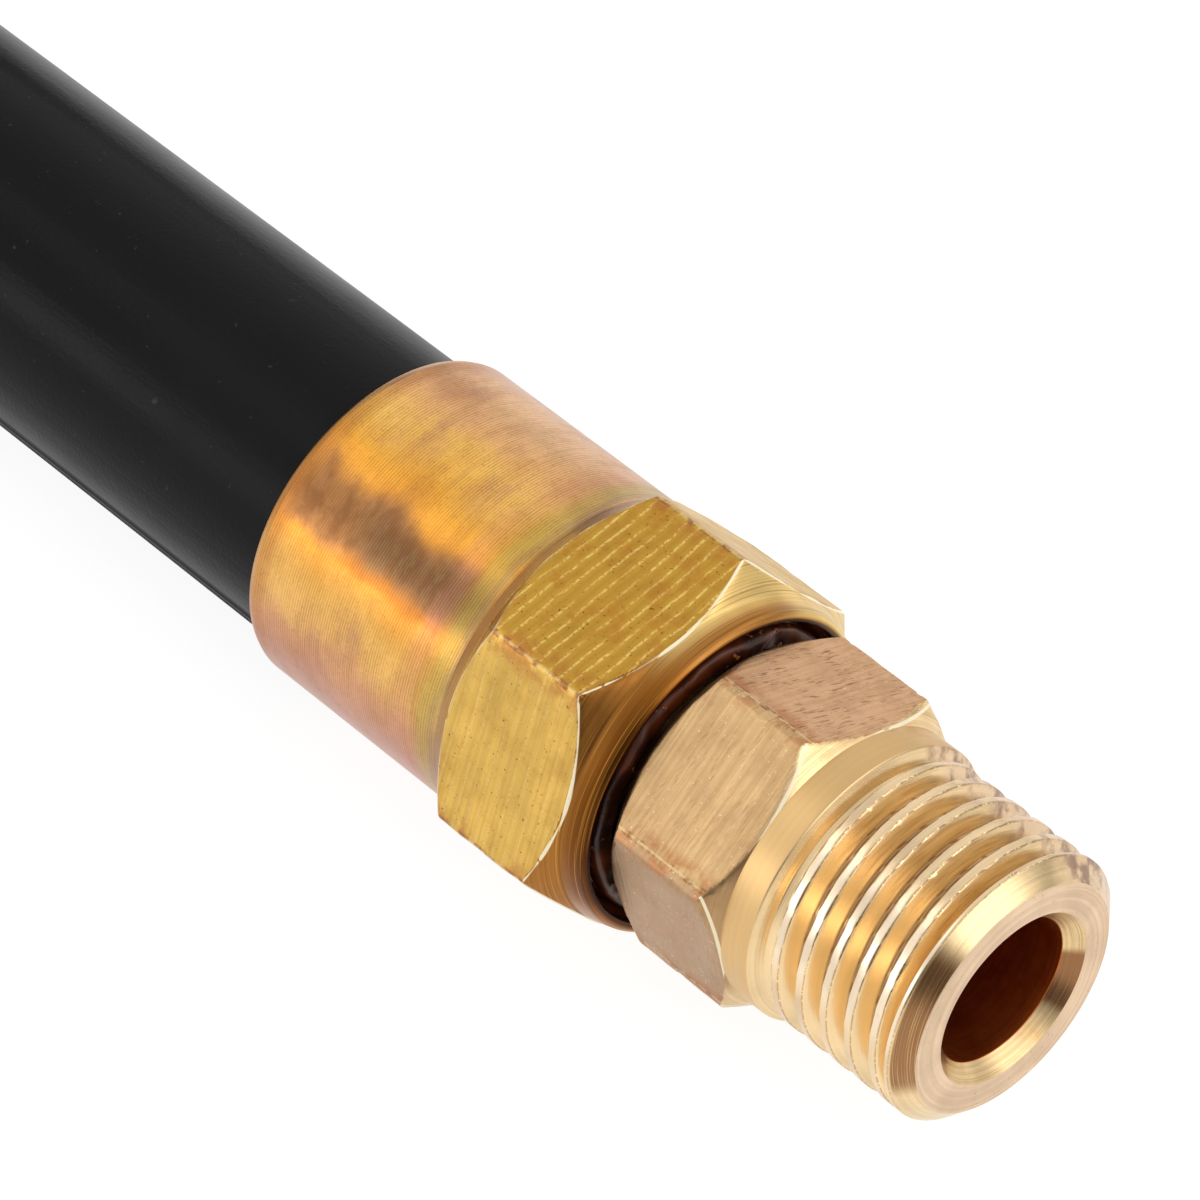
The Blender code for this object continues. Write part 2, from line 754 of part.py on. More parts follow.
def make_hose_joint(handle_axis, valve_rear, looks):
    """The nipple, crimped ferrule, hose end and conductor inside the handle."""
    seat = valve_rear + VALVE_SOCKET - GAP
    collar_high = valve_rear - GAP
    collar_low = collar_high - NIPPLE_COLLAR
    tail_low = collar_low - NIPPLE_TAIL
    turned(
        "torch_nipple",
        [(NIPPLE_BORE_R, tail_low)]
        + barbed(NIPPLE_BARB_R, tail_low, collar_low)
        + [
            (NIPPLE_COLLAR_R, collar_low),
            (NIPPLE_COLLAR_R, collar_high),
            (NIPPLE_BARB_R, collar_high),
            (NIPPLE_BARB_R, seat),
            (NIPPLE_BORE_R, seat),
        ],
        handle_axis,
        looks["brass"],
        steps=20,
    )
    hose_high = collar_low - GAP
    hose_low = HANDLE_REAR + HOSE_INSIDE_HANDLE
    hose_bore = NIPPLE_BARB_R + GAP
    turned(
        "torch_hose_end",
        [(hose_bore, hose_low), (HOSE_R, hose_low), (HOSE_R, hose_high), (hose_bore, hose_high)],
        handle_axis,
        looks["hose_rubber"],
        steps=20,
    )
    inner = HOSE_R + GAP
    outer = inner + FERRULE_WALL
    ferrule_low = hose_high - FERRULE_LENGTH
    crimp_low = ferrule_low + (FERRULE_LENGTH - CRIMP_LENGTH) / 2
    crimp_high = crimp_low + CRIMP_LENGTH
    turned(
        "torch_ferrule",
        [
            (inner, ferrule_low),
            (outer, ferrule_low),
            (outer, crimp_low - CRIMP_SLOPE),
            (outer - CRIMP_DEPTH, crimp_low),
            (outer - CRIMP_DEPTH, crimp_high),
            (outer, crimp_high + CRIMP_SLOPE),
            (outer, hose_high),
            (inner, hose_high),
        ],
        handle_axis,
        looks["brass"],
        steps=20,
    )
    turned(
        "torch_conductor",
        [(0, hose_low), (CONDUCTOR_R, hose_low), (CONDUCTOR_R, seat), (0, seat)],
        handle_axis,
        looks["copper"],
        steps=12,
    )


def coil_radius(turns):
    """The spiral's radius this many turns before or after the reversal."""
    soft = math.hypot(turns, COIL_BEND_SOFTNESS) - COIL_BEND_SOFTNESS
    return COIL_INNER_R + COIL_PITCH * soft


def coil_height(turns):
    """Upper layer before the reversal, lower layer after it, changing over half a turn."""
    share = min(max(turns * 2 + 0.5, 0.0), 1.0)
    share = share * share * (3 - 2 * share)
    return UPPER_Z + (LOWER_Z - UPPER_Z) * share


def coil_point(turns):
    angle = math.pi / 2 + math.tau * (turns + HALF_TURNS)
    radius = coil_radius(turns)
    arm = Vector((math.cos(angle), math.sin(angle), 0)) * radius
    return COIL_CENTRE + arm + Vector((0, 0, coil_height(turns)))


def coil_points():
    """In on the upper layer, out on the lower, with a straight diameter of hose at both ends."""
    count = round(COIL_TURNS * COIL_STEPS)
    points = [coil_point(COIL_TURNS * step / count - HALF_TURNS) for step in range(count + 1)]
    straight = Vector((2 * HOSE_R, 0, 0))
    return [points[0] + straight] + points + [points[-1] + straight]


def least_gap(points):
    """The least clear space between two turns of the coil."""
    apart = COIL_STEPS // 2
    near = min(
        (b - a).length for i, a in enumerate(points) for b in points[i + apart :]
    )
    return near - 2 * HOSE_R


def hose_end_seat(handle_axis_vector, head_place):
    """Where the free hose starts inside the handle."""
    return head_place + handle_axis_vector * (HANDLE_REAR + HOSE_INSIDE_HANDLE - GAP)


def make_hose(head_place, along_handle, looks):
    """The free stretch from the handle, the coil, and the stretch to the fitting."""
    coil = coil_points()
    start = hose_end_seat(along_handle, head_place)
    joint = Vector((GAP, 0, 0))
    lead = [
        start,
        start - along_handle * 2 * HOSE_R,
        Vector((-133.0, 43.9, 11.6)) * MM,
        Vector((-165.0, 51.6, 8.6)) * MM,
        Vector((-200.0, 53.8, 7.9)) * MM,
        Vector((-230.0, 52.6, 9.6)) * MM,
        Vector((-260.0, 50.9, 15.6)) * MM,
        Vector((-290.0, 49.7, 22.2)) * MM,
        coil[0] + joint + Vector((2 * HOSE_R, 0, 0)),
        coil[0] + joint,
    ]
    fitting_end = Vector((MOUTH_X + SKIRT_REAR - GAP, coil[-1].y, MOUTH_Z))
    tail = [
        coil[-1] + joint,
        coil[-1] + joint + Vector((HOSE_R, 0, -TAIL_DIP)),
        coil[-1] + joint + Vector((50.0 * MM, 0, HOSE_R + TAIL_DIP - LOWER_Z)),
        fitting_end + Vector((-105.0 * MM, 0, HOSE_R + TAIL_DIP - MOUTH_Z)),
        fitting_end + Vector((-65.0 * MM, 0, -0.5 * MM)),
        fitting_end + Vector((-30.0 * MM, 0, -0.15 * MM)),
        fitting_end - Vector((HOSE_R, 0, 0)),
        fitting_end,
    ]
    lead_points = smooth_route(lead, 18 * MM)
    tail_points = smooth_route(tail, 18 * MM)
    tube("hose_lead", lead_points, HOSE_R, looks["hose_rubber"], 3)
    tube("hose_coil", coil, HOSE_R, looks["hose_rubber"], 1)
    tube("hose_tail", tail_points, HOSE_R, looks["hose_rubber"], 3)
    free = route_length(lead_points) + route_length(coil) + route_length(tail_points)
    print("free hose", round(free, 3), "m")
    print("least gap between turns", round(least_gap(coil) / MM, 3), "mm")
    return coil[-1].y


def make_tie(name, side, looks):
    """A hook-and-loop strap round all the turns on one side of the coil."""
    outwards = Vector((math.cos(side), math.sin(side), 0))
    along = Vector((-outwards.y, outwards.x, 0))
    arms = [point - COIL_CENTRE for point in coil_points()]
    crossings = []
    for before, arm, after in zip(arms, arms[1:], arms[2:]):
        if arm.dot(outwards) < COIL_INNER_R / 2 or abs(arm.dot(along)) > HOSE_R:
            continue
        for near in (before, arm, after):
            share = min(1.0, TIE_WIDTH / 2 / max(abs(near.dot(along)), TIE_WIDTH / 2))
            crossings.append((arm + (near - arm) * share).dot(outwards))
    low = (min(crossings) - HOSE_R - TIE_GAP, COIL_BASE - TIE_GAP)
    high = (max(crossings) + HOSE_R + TIE_GAP, UPPER_Z + HOSE_R + TIE_GAP)
    inner = rounded_loop(low, high, TIE_CORNER_R)
    wall = TIE_THICKNESS
    outer = rounded_loop(
        (low[0] - wall, low[1] - wall), (high[0] + wall, high[1] + wall), TIE_CORNER_R + wall
    )
    shape = bmesh.new()
    loops = [
        [shape.verts.new((x, y, z)) for x, z in loop]
        for loop, y in (
            (inner, -TIE_WIDTH / 2),
            (inner, TIE_WIDTH / 2),
            (outer, TIE_WIDTH / 2),
            (outer, -TIE_WIDTH / 2),
        )
    ]
    for one, other in zip(loops, loops[1:] + loops[:1]):
        for spot in range(len(inner)):
            after = (spot + 1) % len(inner)
            shape.faces.new((one[spot], one[after], other[after], other[spot]))
    bmesh.ops.recalc_face_normals(shape, faces=shape.faces)
    mesh = bpy.data.meshes.new(name)
    shape.to_mesh(mesh)
    shape.free()
    frame = axis_frame(name + "_frame", COIL_CENTRE, (0, 0, side))
    piece(name, mesh, frame, looks["webbing"])


def hex_cone(corner_r, flats):
    """How far a hexagon's turned chamfer runs along the axis, from its corners to its flats."""
    return (corner_r - flats / 2) * HEX_CHAMFER_SLOPE


def make_socket(axis, looks):
    """The crimped skirt with its hexagon, the one piece that holds the hose."""
    cone = hex_cone(SOCKET_BLANK_R, SOCKET_FLATS)
    flat_r = SOCKET_FLATS / 2
    lip_front = SOCKET_FRONT + SOCKET_LIP
    lip_out = SOCKET_LIP_R - SOCKET_BORE_R
    bore = SKIRT_R - SKIRT_WALL
    body = turned(
        "hose_socket",
        [
            (bore, SKIRT_REAR + SKIRT_WALL / 2),
            (bore + SKIRT_WALL / 4, SKIRT_REAR),
            (SKIRT_RIM_R, SKIRT_REAR),
            (SKIRT_R, SKIRT_REAR + 0.6 * SKIRT_WALL),
            (SKIRT_R, SOCKET_BACK - SKIRT_FILLET),
            ((SKIRT_R + flat_r) / 2, SOCKET_BACK - SKIRT_FILLET / 3),
            (flat_r, SOCKET_BACK),
            (SOCKET_BLANK_R, SOCKET_BACK + cone),
            (SOCKET_BLANK_R, SOCKET_FRONT - cone),
            (flat_r, SOCKET_FRONT),
            (flat_r - lip_out / 2, SOCKET_FRONT + 0.4 * SOCKET_LIP),
            (SOCKET_LIP_R + lip_out, SOCKET_FRONT + 0.8 * SOCKET_LIP),
            (SOCKET_LIP_R, lip_front),
            (SOCKET_BORE_R + lip_out / 3, SOCKET_FRONT + 0.85 * SOCKET_LIP),
            (SOCKET_BORE_R, SOCKET_FRONT + 0.6 * SOCKET_LIP),
            (SOCKET_BORE_R, SOCKET_STEP),
            (CONNECTOR_NECK_R + GAP, SOCKET_STEP),
            (CONNECTOR_NECK_R + GAP, SKIRT_STEP),
            (bore, SKIRT_STEP),
        ],
        axis,
        looks["brass"],
        steps=40,
    )
    mill = hex_ring(
        "socket_flats",
        SOCKET_FLATS,
        2 * SOCKET_BLANK_R,
        SOCKET_BACK - SKIRT_FILLET,
        SOCKET_FRONT + SKIRT_FILLET,
        math.radians(30),
        axis,
    )
    combine(body, mill)
    hose_low = SKIRT_REAR
    hose_high = SKIRT_STEP - GAP
    hose_bore = NIPPLE_BARB_R + GAP
    turned(
        "fitting_hose_end",
        [
            (hose_bore, hose_low),
            (bore - GAP, hose_low),
            (bore - GAP, hose_high),
            (hose_bore, hose_high),
        ],
        axis,
        looks["hose_rubber"],
        steps=20,
    )


def make_connector(axis, looks):
    """The male connector: hexagon, collar, threaded nose and the barbed tail inside the hose."""
    cone = hex_cone(CONNECTOR_BLANK_R, CONNECTOR_FLATS)
    flat_r = CONNECTOR_FLATS / 2
    neck_low = CONNECTOR_BACK - CONNECTOR_NECK
    tail_low = neck_low - CONNECTOR_TAIL
    collar_front = -(THREAD_LENGTH + UNDERCUT)
    body = turned(
        "male_connector",
        [
            (COUNTERSINK_R, 0),
            (END_FACE_R, 0),
            (THREAD_R, -END_CHAMFER),
            (THREAD_R, -THREAD_LENGTH),
            (UNDERCUT_R, -THREAD_LENGTH - UNDERCUT / 2),
            (UNDERCUT_R, collar_front),
            (COLLAR_R, collar_front),
            (COLLAR_R, CONNECTOR_FRONT),
            (flat_r, CONNECTOR_FRONT - GAP / 10),
            (CONNECTOR_BLANK_R, CONNECTOR_FRONT - cone),
            (CONNECTOR_BLANK_R, CONNECTOR_BACK + cone),
            (flat_r, CONNECTOR_BACK),
            (CONNECTOR_NECK_R, CONNECTOR_BACK),
            (CONNECTOR_NECK_R, neck_low + BARB_DEPTH),
            (NIPPLE_BARB_R, neck_low),
        ]
        + barbed(NIPPLE_BARB_R, tail_low, neck_low)[::-1]
        + [
            (NIPPLE_BORE_R, tail_low),
            (NIPPLE_BORE_R, -BORE_LENGTH - (BORE_R - NIPPLE_BORE_R)),
            (BORE_R, -BORE_LENGTH),
            (BORE_R, -COUNTERSINK),
        ],
        axis,
        looks["brass_pale"],
        steps=40,
    )
    mill = hex_ring(
        "connector_flats",
        CONNECTOR_FLATS,
        2 * CONNECTOR_BLANK_R,
        CONNECTOR_BACK - GAP,
        CONNECTOR_FRONT,
        CONNECTOR_TURN,
        axis,
    )
    combine(body, mill)
    inner = CONNECTOR_NECK_R + GAP
    outer = SOCKET_BORE_R - GAP
    washer_low = SOCKET_STEP + GAP
    washer_high = washer_low + WASHER_THICKNESS
    turned(
        "seal_washer",
        [(inner, washer_low), (outer, washer_low), (outer, washer_high), (inner, washer_high)],
        axis,
        looks["steel"],
        steps=28,
    )
    bead_low = washer_high + GAP
    bead_high = bead_low + BEAD_THICKNESS
    middle = (inner + outer) / 2
    turned(
        "sealant_bead",
        [(inner, bead_low), (outer, bead_low), (outer, bead_high - GAP), (middle, bead_high)]
        + [(inner, bead_high - GAP)],
        axis,
        looks["sealant"],
        steps=28,
    )
    conductor_high = -BORE_LENGTH - (BORE_R - NIPPLE_BORE_R) - GAP
    turned(
        "fitting_conductor",
        [(0, tail_low), (CONDUCTOR_R, tail_low), (CONDUCTOR_R, conductor_high), (0, conductor_high)],
        axis,
        looks["copper"],
        steps=12,
    )


def make_looks():
    return {
        "phenolic": finish("phenolic", (0.012, 0.012, 0.013), 0.38),
        "handle_plastic": finish("handle_plastic", (0.016, 0.016, 0.018), 0.5),
        "knob_plastic": finish("knob_plastic", (0.02, 0.02, 0.022), 0.4),
        "hose_rubber": finish("hose_rubber", (0.008, 0.008, 0.009), 0.35),
        "seal_rubber": finish("seal_rubber", (0.01, 0.01, 0.01), 0.6),
        "webbing": finish("webbing", (0.02, 0.02, 0.022), 0.85),
        "ptfe": finish("ptfe", (0.85, 0.85, 0.82), 0.45),
        "alumina": finish("alumina", (0.78, 0.42, 0.33), 0.5),
        "tungsten": finish("tungsten", (0.45, 0.45, 0.47), 0.3, 1.0),
        "copper": finish("copper", (0.72, 0.33, 0.19), 0.35, 1.0),
        "brass": finish("brass", (0.62, 0.38, 0.11), 0.35, 1.0),
        "brass_pale": finish("brass_pale", (0.66, 0.47, 0.24), 0.35, 1.0),
        "steel": finish("steel", (0.42, 0.42, 0.43), 0.3, 1.0),
        "sealant": finish("sealant", (0.25, 0.09, 0.02), 0.2),
    }


def main():
    clear_scene()
    looks = make_looks()
    head_place = Vector((HEAD_X, HEAD_Y, TORCH_Z))
    along_handle = Vector((math.cos(HANDLE_TURN), math.sin(HANDLE_TURN), 0))
    head_axis = axis_frame("head_axis", head_place, (math.pi / 2, 0, 0))
    handle_axis = axis_frame("handle_axis", head_place, (0, math.pi / 2, HANDLE_TURN))
    make_head(head_axis, handle_axis, looks)
    collet_back = make_collet(head_axis, looks)
    make_nozzle(head_axis, looks)
    make_electrode(head_axis, looks)
    make_cap(head_axis, collet_back, looks)
    valve_rear = make_valve(handle_axis, looks)
    make_handle(handle_axis, looks)
    make_hose_joint(handle_axis, valve_rear, looks)
    fitting_y = make_hose(head_place, along_handle, looks)
    make_tie("coil_tie_near", 0.0, looks)
    make_tie("coil_tie_far", math.pi, looks)
    fitting_axis = axis_frame("fitting_axis", (MOUTH_X, fitting_y, MOUTH_Z), (0, math.pi / 2, 0))
    make_socket(fitting_axis, looks)
    make_connector(fitting_axis, looks)


main()
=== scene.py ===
"""Finishes a gas-cooled TIG torch, its coiled hose and the brass fitting on the hose's end.

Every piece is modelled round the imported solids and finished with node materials. The picture looks
down on the fitting through a long lens, with the coil and the torch outside its frame.
"""

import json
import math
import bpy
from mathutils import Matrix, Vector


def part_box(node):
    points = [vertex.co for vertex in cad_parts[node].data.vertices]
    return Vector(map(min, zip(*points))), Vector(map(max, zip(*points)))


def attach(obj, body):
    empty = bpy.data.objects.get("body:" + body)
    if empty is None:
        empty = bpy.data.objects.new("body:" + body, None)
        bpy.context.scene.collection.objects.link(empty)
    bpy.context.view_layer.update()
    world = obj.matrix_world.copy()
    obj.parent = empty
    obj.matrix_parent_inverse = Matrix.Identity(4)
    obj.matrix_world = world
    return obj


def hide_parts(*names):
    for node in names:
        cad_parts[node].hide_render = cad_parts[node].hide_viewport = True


bl_info = {
    "name": "TIG torch and hose fitting",
    "version": (1, 0, 0),
    "blender": (4, 5, 0),
    "location": "View3D > Sidebar > Torch",
    "description": "Models the finished surfaces of a TIG torch, its hose and its brass fitting",
    "category": "Add Mesh",
}

import bpy
import numpy as np
from mathutils import Matrix, Vector, noise

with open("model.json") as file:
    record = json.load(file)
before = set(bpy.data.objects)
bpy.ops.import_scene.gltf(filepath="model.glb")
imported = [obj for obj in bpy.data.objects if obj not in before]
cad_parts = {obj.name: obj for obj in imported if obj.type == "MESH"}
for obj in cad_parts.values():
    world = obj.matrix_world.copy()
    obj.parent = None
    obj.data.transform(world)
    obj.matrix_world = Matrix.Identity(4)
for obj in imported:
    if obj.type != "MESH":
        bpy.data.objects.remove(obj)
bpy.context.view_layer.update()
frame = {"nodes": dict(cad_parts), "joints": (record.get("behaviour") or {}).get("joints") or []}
MM = 0.001


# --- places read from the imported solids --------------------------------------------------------
def span(node, start, axis):
    """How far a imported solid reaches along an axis, as (lowest, highest) distance from start."""
    along = [(vert.co - start).dot(axis) for vert in frame["nodes"][node].data.vertices]
    return min(along), max(along)


def girth(node, start, axis):
    """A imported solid's greatest distance from an axis."""
    arms = [vert.co - start for vert in frame["nodes"][node].data.vertices]
    return max((arm - axis * arm.dot(axis)).length for arm in arms)


def place_of(origin, axis, side):
    """A matrix that puts local Z along an axis and local X along a side of it."""
    return Matrix.Translation(origin) @ Matrix((side, axis.cross(side), axis)).transposed().to_4x4()


SOCKET_LOW, SOCKET_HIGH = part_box("hose_socket")
CONNECTOR_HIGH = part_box("male_connector")[1]
MOUTH = (SOCKET_LOW + SOCKET_HIGH) / 2
MOUTH.x = CONNECTOR_HIGH.x
UP = Vector((0, 0, 1))
BACK = Vector((-1, 0, 0))  # from the fitting's mouth towards the hose
JOINTS = {joint["name"]: joint for joint in frame["joints"]}
CORE_LOW, CORE_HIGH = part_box("head_core")
HEAD = (CORE_LOW + CORE_HIGH) / 2
AHEAD = Vector((0, -1, 0))  # from the back cap towards the nozzle
VALVE_AXIS = Vector(JOINTS["valve_turn"]["axis"]).normalized()
ALONG = Vector((VALVE_AXIS.y, -VALVE_AXIS.x, 0.0))  # along the handle, towards the head
FITTING = place_of(MOUTH, BACK, UP)
HEAD_PLACE = place_of(HEAD, AHEAD, Vector((1, 0, 0)))
HANDLE_PLACE = place_of(HEAD, ALONG, -UP)
VALVE_BODY = span("valve_body", HEAD, ALONG)
NECK_LENGTH = -VALVE_BODY[1]
STEM_LOW, STEM_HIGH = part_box("valve_stem")
VALVE_CENTRE = HEAD + ALONG * (STEM_LOW + STEM_HIGH - 2 * HEAD).dot(ALONG) / 2
VALVE_PLACE = place_of(VALVE_CENTRE, VALVE_AXIS, -UP)
GAP = 0.3 * MM  # that the solids keep from each other

# --- hose route --------------------------------------------------------------------------------
HOSE_R = 7.63 * MM
HOSE_SIDES = 56
RIDGES = (100, 106, -78, -84)  # degrees round the hose from its top
RIDGE_HEIGHT = 0.09 * MM
HOSE_STEP = 6.0 * MM  # between points where it isn't coiled
COIL_TURNS = 6.5
COIL_STEPS = 96  # points for each turn
COIL_MEAN_R = 87.0 * MM
COIL_PITCH = 2 * HOSE_R + 0.6 * MM
COIL_LAYER = 2 * HOSE_R + 0.5 * MM
COIL_CENTRE = Vector((-345.0, -62.5, 0.0)) * MM
COIL_BEND_SOFTNESS = 0.06  # of a turn, rounding the reversal at the innermost turn
LOWER_Z = 2.0 * MM + HOSE_R
UPPER_Z = LOWER_Z + COIL_LAYER
COIL_INNER_R = COIL_MEAN_R - COIL_PITCH * COIL_TURNS / 4
TAIL_DIP = 0.2 * MM
HOSE_START_DEPTH = 5.0 * MM  # inside the handle

# --- the fitting, its stations measured back from its mouth -------------------------------------
THREAD_R = 6.85 * MM
THREAD_ROOT_R = 5.98 * MM
THREAD_LENGTH = 8.4 * MM
THREAD_START = 1.39 * MM  # station of a valley on the fitting's top line
FLANK = 0.5 * MM  # run of a thread's flank along the axis
ROOT_HALF = 0.06 * MM
END_FACE_R = 5.86 * MM
END_CHAMFER = 0.88 * MM
COUNTERSINK_R = 4.43 * MM
COUNTERSINK = 0.75 * MM
BORE_R = 3.72 * MM
BORE_LENGTH = 18.4 * MM
RUN_IN_END = END_CHAMFER + 0.45 * MM  # from here on the thread has its full depth
RUN_IN = 0.25 * MM
RUN_OUT = 0.5 * MM  # before the thread's end, where it begins to get shallower
RUN_OUT_SLOPE = 0.5  # in radius for each step along the axis
CREST_SOFTNESS = 0.2  # these four are shares of the thread's depth
CREST_MARGIN = 0.12
CREST_EDGE = 0.93  # where the nicks are
CREST_EDGE_WIDTH = 0.05
UNDERCUT = THREAD_LENGTH + 0.4 * MM
UNDERCUT_R = 6.45 * MM
COLLAR_R = 7.15 * MM
COLLAR_FRONT = 9.2 * MM
CONNECTOR_FRONT = 10.8 * MM
CONNECTOR_BACK = 17.8 * MM
CONNECTOR_FLATS = 14.32 * MM
CONNECTOR_BLANK_R = 8.2 * MM
CONNECTOR_TURN = math.radians(28.2)  # of its first flat from the top
NECK_R = 6.0 * MM
NECK_BACK = 28.4 * MM
TAIL_BACK = 39.4 * MM
BARB_R = 4.6 * MM
BARB_DEPTH = 0.5 * MM
BARBS = 3
TAIL_BORE_R = 2.6 * MM
CONE_SLOPE = 0.85  # a hexagon's turned chamfer runs this far along the axis for each step in
SOCKET_FRONT = 19.5 * MM
SOCKET_BACK = 27.25 * MM
SOCKET_FLATS = 17.48 * MM
SOCKET_BLANK_R = 10.02 * MM
LIP_FRONT = 18.2 * MM
LIP_R = 8.4 * MM
SOCKET_BORE_R = 7.7 * MM
SOCKET_STEP = 21.85 * MM
SKIRT_STEP = 28.55 * MM
SKIRT_REAR = 40.7 * MM
SKIRT_R = 8.5 * MM
SKIRT_BORE_R = 7.5 * MM


# --- what a user would change --------------------------------------------------------------------
def colour(code):
    """Linear RGBA of an sRGB hex value."""
    shares = [int(code[at : at + 2], 16) / 255 for at in (1, 3, 5)]
    linear = [s / 12.92 if s <= 0.04045 else ((s + 0.055) / 1.055) ** 2.4 for s in shares]
    return (*linear, 1.0)


def size_prop(name, description, default):
    words = {"name": name, "description": description}
    return bpy.props.FloatProperty(**words, default=default, min=0.0, precision=5, unit="LENGTH")


def colour_prop(name, description, code):
    words = {"name": name, "description": description, "default": colour(code)[:3]}
    return bpy.props.FloatVectorProperty(**words, size=3, subtype="COLOR", min=0, max=1)


class TorchSizes(bpy.types.PropertyGroup):
    """Sizes of the surface detail, which don't change the torch's own dimensions."""

    thread_pitch: size_prop("Thread pitch", "Distance between the connector's threads", 1.5 * MM)
    ring_pitch: size_prop("Ring pitch", "Distance between the turned rings on the skirt", 0.15 * MM)
    mill_pitch: size_prop("Mill pitch", "Distance between the large flats' mill lines", 0.66 * MM)
    edge_wear: size_prop("Edge wear", "How far the hexagons' edges are worn round", 0.09 * MM)
    grain: size_prop("Moulding grain", "Grain size of the handle's eroded mould surface", 0.35 * MM)
    hose_length: size_prop("Hose length", "Length of the free hose from handle to socket", 3.98)


class TorchColours(bpy.types.PropertyGroup):
    """The main colour of each finish."""

    brass: colour_prop("Brass", "Yellow brass of the socket's flats", "#E2B75E")
    pale_brass: colour_prop("Pale brass", "Pinkish brass of the connector's flats", "#E2BC88")
    thread_brass: colour_prop("Thread brass", "Fresh golden brass of the thread", "#F4D5A2")
    rubber: colour_prop("Hose rubber", "Black rubber of the hose", "#0A0A0C")
    phenolic: colour_prop("Phenolic", "Black moulded phenolic of head and cap", "#1C1B1B")
    nylon: colour_prop("Handle nylon", "Black filled nylon of the handle", "#222325")
    alumina: colour_prop("Alumina", "Pink fired ceramic of the nozzle", "#DC9C88")


# --- making shapes -------------------------------------------------------------------------------
def deselect():
    if bpy.context.mode != "OBJECT":
        bpy.ops.object.mode_set(mode="OBJECT")
    bpy.ops.object.select_all(action="DESELECT")


def select_only(piece):
    deselect()
    bpy.context.view_layer.objects.active = piece
    piece.select_set(True)


def face_outward():
    """Turns the faces of the active object outward."""
    bpy.ops.object.mode_set(mode="EDIT")
    bpy.ops.mesh.select_all(action="SELECT")
    bpy.ops.mesh.normals_make_consistent(inside=False)
    bpy.ops.object.mode_set(mode="OBJECT")


def modify(piece, kind, **settings):
    """Applies a modifier of a kind, with its settings, to the active object."""
    change = piece.modifiers.new(kind, kind)
    for name, value in settings.items():
        setattr(change, name, value)
    bpy.ops.object.modifier_apply(modifier=change.name)


def rounded(corners, fineness=None):
    """An outline of (radius, height) points from corners of (radius, height, fillet).

    With a fineness, stretches longer than it are divided, so that they can take a fine shape. A
    corner's fourth value is the fineness from there on.
    """
    points, steps = [], []
    for index, (radius, height, fillet, *finer) in enumerate(corners):
        fineness = finer[0] if finer else fineness
        here = Vector((radius, height))
        before = Vector(corners[index - 1][:2]) - here
        after = Vector(corners[(index + 1) % len(corners)][:2]) - here
        if not fillet:
            points.append(here)
            steps.append(fineness)
            continue
        half = before.angle(after) / 2
        run = min(fillet / math.tan(half), 0.45 * before.length, 0.45 * after.length)
        start, stop = here + before.normalized() * run, here + after.normalized() * run
        for step in range(5):
            t = step / 4
            points.append(start * (1 - t) ** 2 + here * 2 * t * (1 - t) + stop * t * t)
            steps.append(fineness)
    fine = []
    for point, after, size in zip(points, points[1:] + points[:1], steps):
        count = max(1, math.ceil((after - point).length / size)) if size else 1
        fine += [point.lerp(after, step / count) for step in range(count)]
    return fine


def turned(name, outline, steps, place, reshape=None, sharp=40):
    """Spins an outline about the local Z axis of its place.

    Its last point joins its first one; where both lie on the axis the piece is solid. Each vertex
    keeps its distance along the outline as the attribute "across", which the tool lines follow.
    ``reshape`` takes the arrays (radius, angle, height, across) and gives them back changed.
    """
    deselect()
    bpy.ops.mesh.primitive_circle_add(vertices=len(outline), radius=MM)
    piece = bpy.context.object
    piece.name = piece.data.name = name
    across = piece.data.attributes.new("across", "FLOAT", "POINT")
    length, last = 0.0, outline[0]
    for vert, point in zip(piece.data.vertices, outline):
        length += (point - last).length
        last = point
        vert.co = (point.x, 0, point.y)
        across.data[vert.index].value = length
    merging = {"use_merge_vertices": True, "merge_threshold": 1e-7}
    modify(piece, "SCREW", steps=steps, render_steps=steps, **merging)
    bpy.ops.object.mode_set(mode="EDIT")
    bpy.ops.mesh.select_all(action="SELECT")
    bpy.ops.mesh.delete_loose()
    bpy.ops.object.mode_set(mode="OBJECT")
    face_outward()
    if reshape:
        mesh = piece.data
        count = len(mesh.vertices)
        spots, lengths = np.empty(count * 3), np.empty(count)
        mesh.vertices.foreach_get("co", spots)
        mesh.attributes["across"].data.foreach_get("value", lengths)
        x, y, z = spots.reshape(-1, 3).T
        radius, angle, z, lengths = reshape(np.hypot(x, y), np.arctan2(y, x), z, lengths)
        spots = np.stack([radius * np.cos(angle), radius * np.sin(angle), z], axis=1)
        mesh.vertices.foreach_set("co", spots.ravel())
        mesh.attributes["across"].data.foreach_set("value", lengths.astype(np.float32))
        mesh.update()
    piece.matrix_world = place
    bpy.ops.object.transform_apply(location=True, rotation=True, scale=True)
    bpy.ops.object.shade_smooth_by_angle(angle=math.radians(sharp))
    return piece


def solid_rod(name, radius, low, high, place, steps=64):
    corners = [(0, low, 0), (radius, low, 0), (radius, high, 0), (0, high, 0)]
    return turned(name, rounded(corners), steps, place)


def grainy(radius, angle, height, size, seed):
    """Smooth noise from -1 to 1 at each vertex, with lumps of about a size."""
    spots = zip(radius * np.cos(angle) / size, radius * np.sin(angle) / size, height / size + seed)
    return np.array([noise.noise(Vector(spot)) for spot in spots])


def softer_least(one, other, blend):
    """The lesser of two arrays, rounded over where they cross."""
    return np.minimum(one, other) - blend * np.log1p(np.exp(-np.abs(one - other) / blend))


def flat_offset(angle, first):
    """The angle from the middle of the nearest of six flats."""
    return (angle - first + math.pi / 6) % (math.pi / 3) - math.pi / 6


